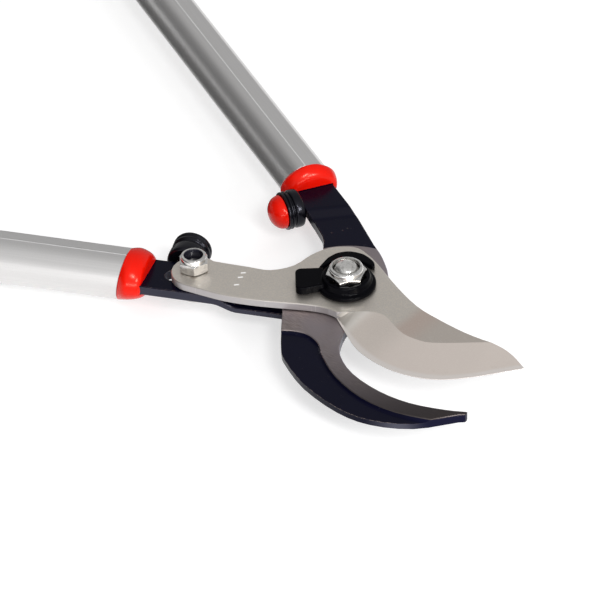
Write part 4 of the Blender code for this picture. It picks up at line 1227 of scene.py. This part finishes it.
class LOPPER_OT_lock_plate(PieceOperator, bpy.types.Operator):
    """The black lock plate with its raised hub, tab and crescent"""
    bl_idname = "lopper.lock_plate"
    bl_label = "Lock plate"

    def make(self, sizes, colours):
        base = BLADE_TOP + GAP
        disc = sizes.lock_disc / MM / 2
        bore = sizes.pivot_nut_flats / MM / 2 / cos(pi / 6) + GAP
        hub, top = base + LOCK_HUB, base + LOCK_DISC
        hub_r = bore + 0.8
        profile = [(base, 0), (base, disc), (top - 0.5, disc), (top, disc - 0.9),
                   (top + 0.1, hub_r + 1.2), (hub - 0.3, hub_r + 0.3), (hub, hub_r), (hub, 0)]
        body = new_object("plate", turned(softened(profile, 0.5)), upright())
        star_radii = (bore, bore * cos(pi / 6) / cos(pi / 12) * 0.985)
        turns = [radians(LOCK_TAB_ANGLE + NUT_TURN + 15 * i) for i in range(24)]
        star = [(star_radii[i % 2] * cos(a), star_radii[i % 2] * sin(a))
                for i, a in enumerate(turns)]
        combine(body, [("DIFFERENCE", new_object("star", prism(star, base - 2, hub + 2)))])
        turn = Matrix.Rotation(radians(LOCK_TAB_ANGLE), 4, "Z")
        tab = [(disc - 3.3, TAB_ROOT[1]), (disc - 3.3, TAB_ROOT[0])]
        tab += arc((TAB_END, TAB_SIDES[0]), TAB_CORNER, -90, 0, 8)
        tab += arc((TAB_END, TAB_SIDES[1]), TAB_CORNER, 0, 90, 8) + TAB_WAIST
        outside = [((disc + beyond) * cos(radians(way)), (disc + beyond) * sin(radians(way)))
                   for way, beyond in LOCK_CRESCENT]
        inside = arc((0, 0), disc + CRESCENT_INSIDE, *CRESCENT_TURNS, 30)
        crescent = (curve(outside, 5) + inside + [(disc - 2.4, -8.0)])[::-1]
        forms = [body] + [new_object("plate", slab(outline, base, base + height, 0.5), turn)
                          for outline, height in ((tab, LOCK_TAB), (crescent, LOCK_CRESCENT_TOP))]
        worn_by(melted(forms, LOCK_GRAIN), black_plastic(colours), "blade_lever",
                "black_plastic", "pivot_lock_plate")


class LOPPER_OT_stage(bpy.types.Operator):
    """Floor, lamps, surroundings and camera"""
    bl_idname = "lopper.stage"
    bl_label = "Studio"
    bl_options = {"REGISTER", "UNDO"}

    def execute(self, context):
        scene = context.scene
        self.floor(scene.lopper_colours)
        self.surroundings(scene)
        self.lamps()
        self.dark_reflection_sheet()
        self.camera(scene)
        scene.view_settings.view_transform = "Standard"
        return {"FINISHED"}

    def sheet(self, name, look, corners):
        """A flat sheet with a finish, from its corners in metres."""
        bm = bmesh.new()
        bm.faces.new([bm.verts.new(corner) for corner in corners])
        piece = new_object(name, to_mesh(bm))
        piece.data.materials.append(look)
        return piece

    def floor(self, colours):
        """A pale floor that stays white to the camera and keeps the shadow."""
        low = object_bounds()[0].z - FLOOR_DROP
        look = new_look("studio_floor")
        seen, mirrored = look.ray("Is Camera Ray"), look.ray("Is Glossy Ray")
        shown = look.ramp(seen + mirrored + look.ray("Is Transmission Ray"), 0.0, 1.0)
        glow = look.mix(shown, (0.0, 0.0, 0.0), (FLOOR_GLOW,) * 3)
        base = look.tones(look.noise(look.place(), 3.0), colours.floor, 0.99, 1.01)
        finish = look.surface(base, 0.9, {"Specular IOR Level": 0.0, "Emission Color": glow,
                                          "Emission Strength": 1.0})
        sides = ((-1, -1), (1, -1), (1, 1), (-1, 1))
        self.sheet("floor", finish, [(x * FLOOR_HALF, y * FLOOR_HALF, low)
                                              for x, y in sides])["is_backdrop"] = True

    def dark_reflection_sheet(self):
        """A dark sheet on the floor left of the hook's handle, seen only in reflections, where it
        paints a dark reflection on that handle.
        """
        place = lever_matrix(LEVERS[1])
        low = (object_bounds()[0].z - REFLECTION_SHEET_DROP) / MM - LEVERS[1].height
        finish = new_look("dark_reflection_sheet_finish").surface((0.15, 0.15, 0.15), 0.9, {"Specular IOR Level": 0.0})
        piece = self.sheet("dark_reflection_sheet", finish, [(place @ Vector((x, y, low))) * MM
                                            for x, y in REFLECTION_SHEET_CORNERS])
        for way in ("camera", "diffuse", "shadow", "transmission"):
            setattr(piece, "visible_" + way, False)
        piece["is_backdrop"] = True

    def surroundings(self, scene):
        """White to the camera; graded walls for everything else."""
        scene.world = bpy.data.worlds.new("studio")
        look = Look(scene.world)
        way = look.node("ShaderNodeTexCoord", output="Generated")
        ahead = look.toward(way, (sin(VIEW_TURN), -cos(VIEW_TURN), 0.0))
        leftward = look.toward(way, (-cos(VIEW_TURN), -sin(VIEW_TURN), 0.0))
        walls = 0.50 + 0.32 * look.ramp(ahead, -0.4, 0.8) + 0.25 * look.ramp(ahead, 0.75, 1.0)
        walls = walls * (1.0 - 0.72 * look.ramp(leftward, 0.45, 0.85))
        strength = walls + look.ray("Is Camera Ray") * (1.0 - walls)
        shader = look.node("ShaderNodeBackground", None,
                           {"Color": (1.0, 1.0, 1.0, 1.0), "Strength": strength})
        look.node("ShaderNodeOutputWorld", None, {"Surface": shader})

    def lamps(self):
        """Large soft lamps that point at the pivot."""
        for name, place, size, power in LAMPS:
            data = bpy.data.lights.new(name, "AREA")
            data.shape = "RECTANGLE"
            data.size, data.size_y = size
            data.energy = power
            lamp = new_object(name, data)
            lamp.location = Matrix.Rotation(VIEW_TURN, 3, "Z") @ Vector(place)
            lamp.rotation_euler = (-lamp.location).to_track_quat("-Z", "Y").to_euler()

    def camera(self, scene):
        """The photograph's viewpoint."""
        data = bpy.data.cameras.new("camera")
        data.sensor_width = SENSOR
        data.lens = FOCAL_PIXELS / IMAGE_SIDE * SENSOR
        data.clip_start, data.clip_end = 0.05, 50.0
        turns = ((VIEW_TURN, "Z"), (pi / 2 - VIEW_ELEVATION, "X"), (-VIEW_ROLL, "Z"))
        first, second, third = (Matrix.Rotation(turn, 4, axis) for turn, axis in turns)
        place = first @ second @ third
        right, down = ((pixel - IMAGE_SIDE / 2) / FOCAL_PIXELS for pixel in PIVOT_PIXEL)
        back = place @ Vector((-right, down, 1.0)) * VIEW_DISTANCE
        place.translation = Vector((0, 0, BLADE_TOP * MM)) + back
        scene.camera = new_object("camera", data)
        scene.camera.matrix_world = place


class LOPPER_PT_panel(bpy.types.Panel):
    """Every step of the lopper's dressing"""
    bl_idname = "LOPPER_PT_panel"
    bl_label = "Lopper"
    bl_space_type = "VIEW_3D"
    bl_region_type = "UI"
    bl_category = "Lopper"

    def draw(self, context):
        for item in PIECES:
            self.layout.operator(item.bl_idname)
        for group in (context.scene.lopper_sizes, context.scene.lopper_colours):
            box = self.layout.box()
            for name in group.bl_rna.properties.keys():
                if name not in ("rna_type", "name"):
                    box.prop(group, name)


PIECES = (LOPPER_OT_blade, LOPPER_OT_hook, LOPPER_OT_arm, LOPPER_OT_tubes, LOPPER_OT_collars,
          LOPPER_OT_bumpers, LOPPER_OT_grips, LOPPER_OT_pivot, LOPPER_OT_tail,
          LOPPER_OT_lock_plate, LOPPER_OT_stage)
CLASSES = (LopperSizes, LopperColours, *PIECES, LOPPER_PT_panel)


def register():
    """Register the classes and their settings."""
    for item in CLASSES:
        bpy.utils.register_class(item)
    bpy.types.Scene.lopper_sizes = PointerProperty(type=LopperSizes)
    bpy.types.Scene.lopper_colours = PointerProperty(type=LopperColours)


def unregister():
    """Remove the settings and the classes."""
    del bpy.types.Scene.lopper_colours
    del bpy.types.Scene.lopper_sizes
    for item in reversed(CLASSES):
        bpy.utils.unregister_class(item)


def main():
    """Call every operator in order."""
    register()
    for item in list(bpy.data.objects):
        if item.type in ("CAMERA", "LIGHT") or item.name == "Cube":
            bpy.data.objects.remove(item)
    for item in PIECES:
        space, step = item.bl_idname.split(".")
        getattr(getattr(bpy.ops, space), step)()


if __name__ == "__main__":
    main()
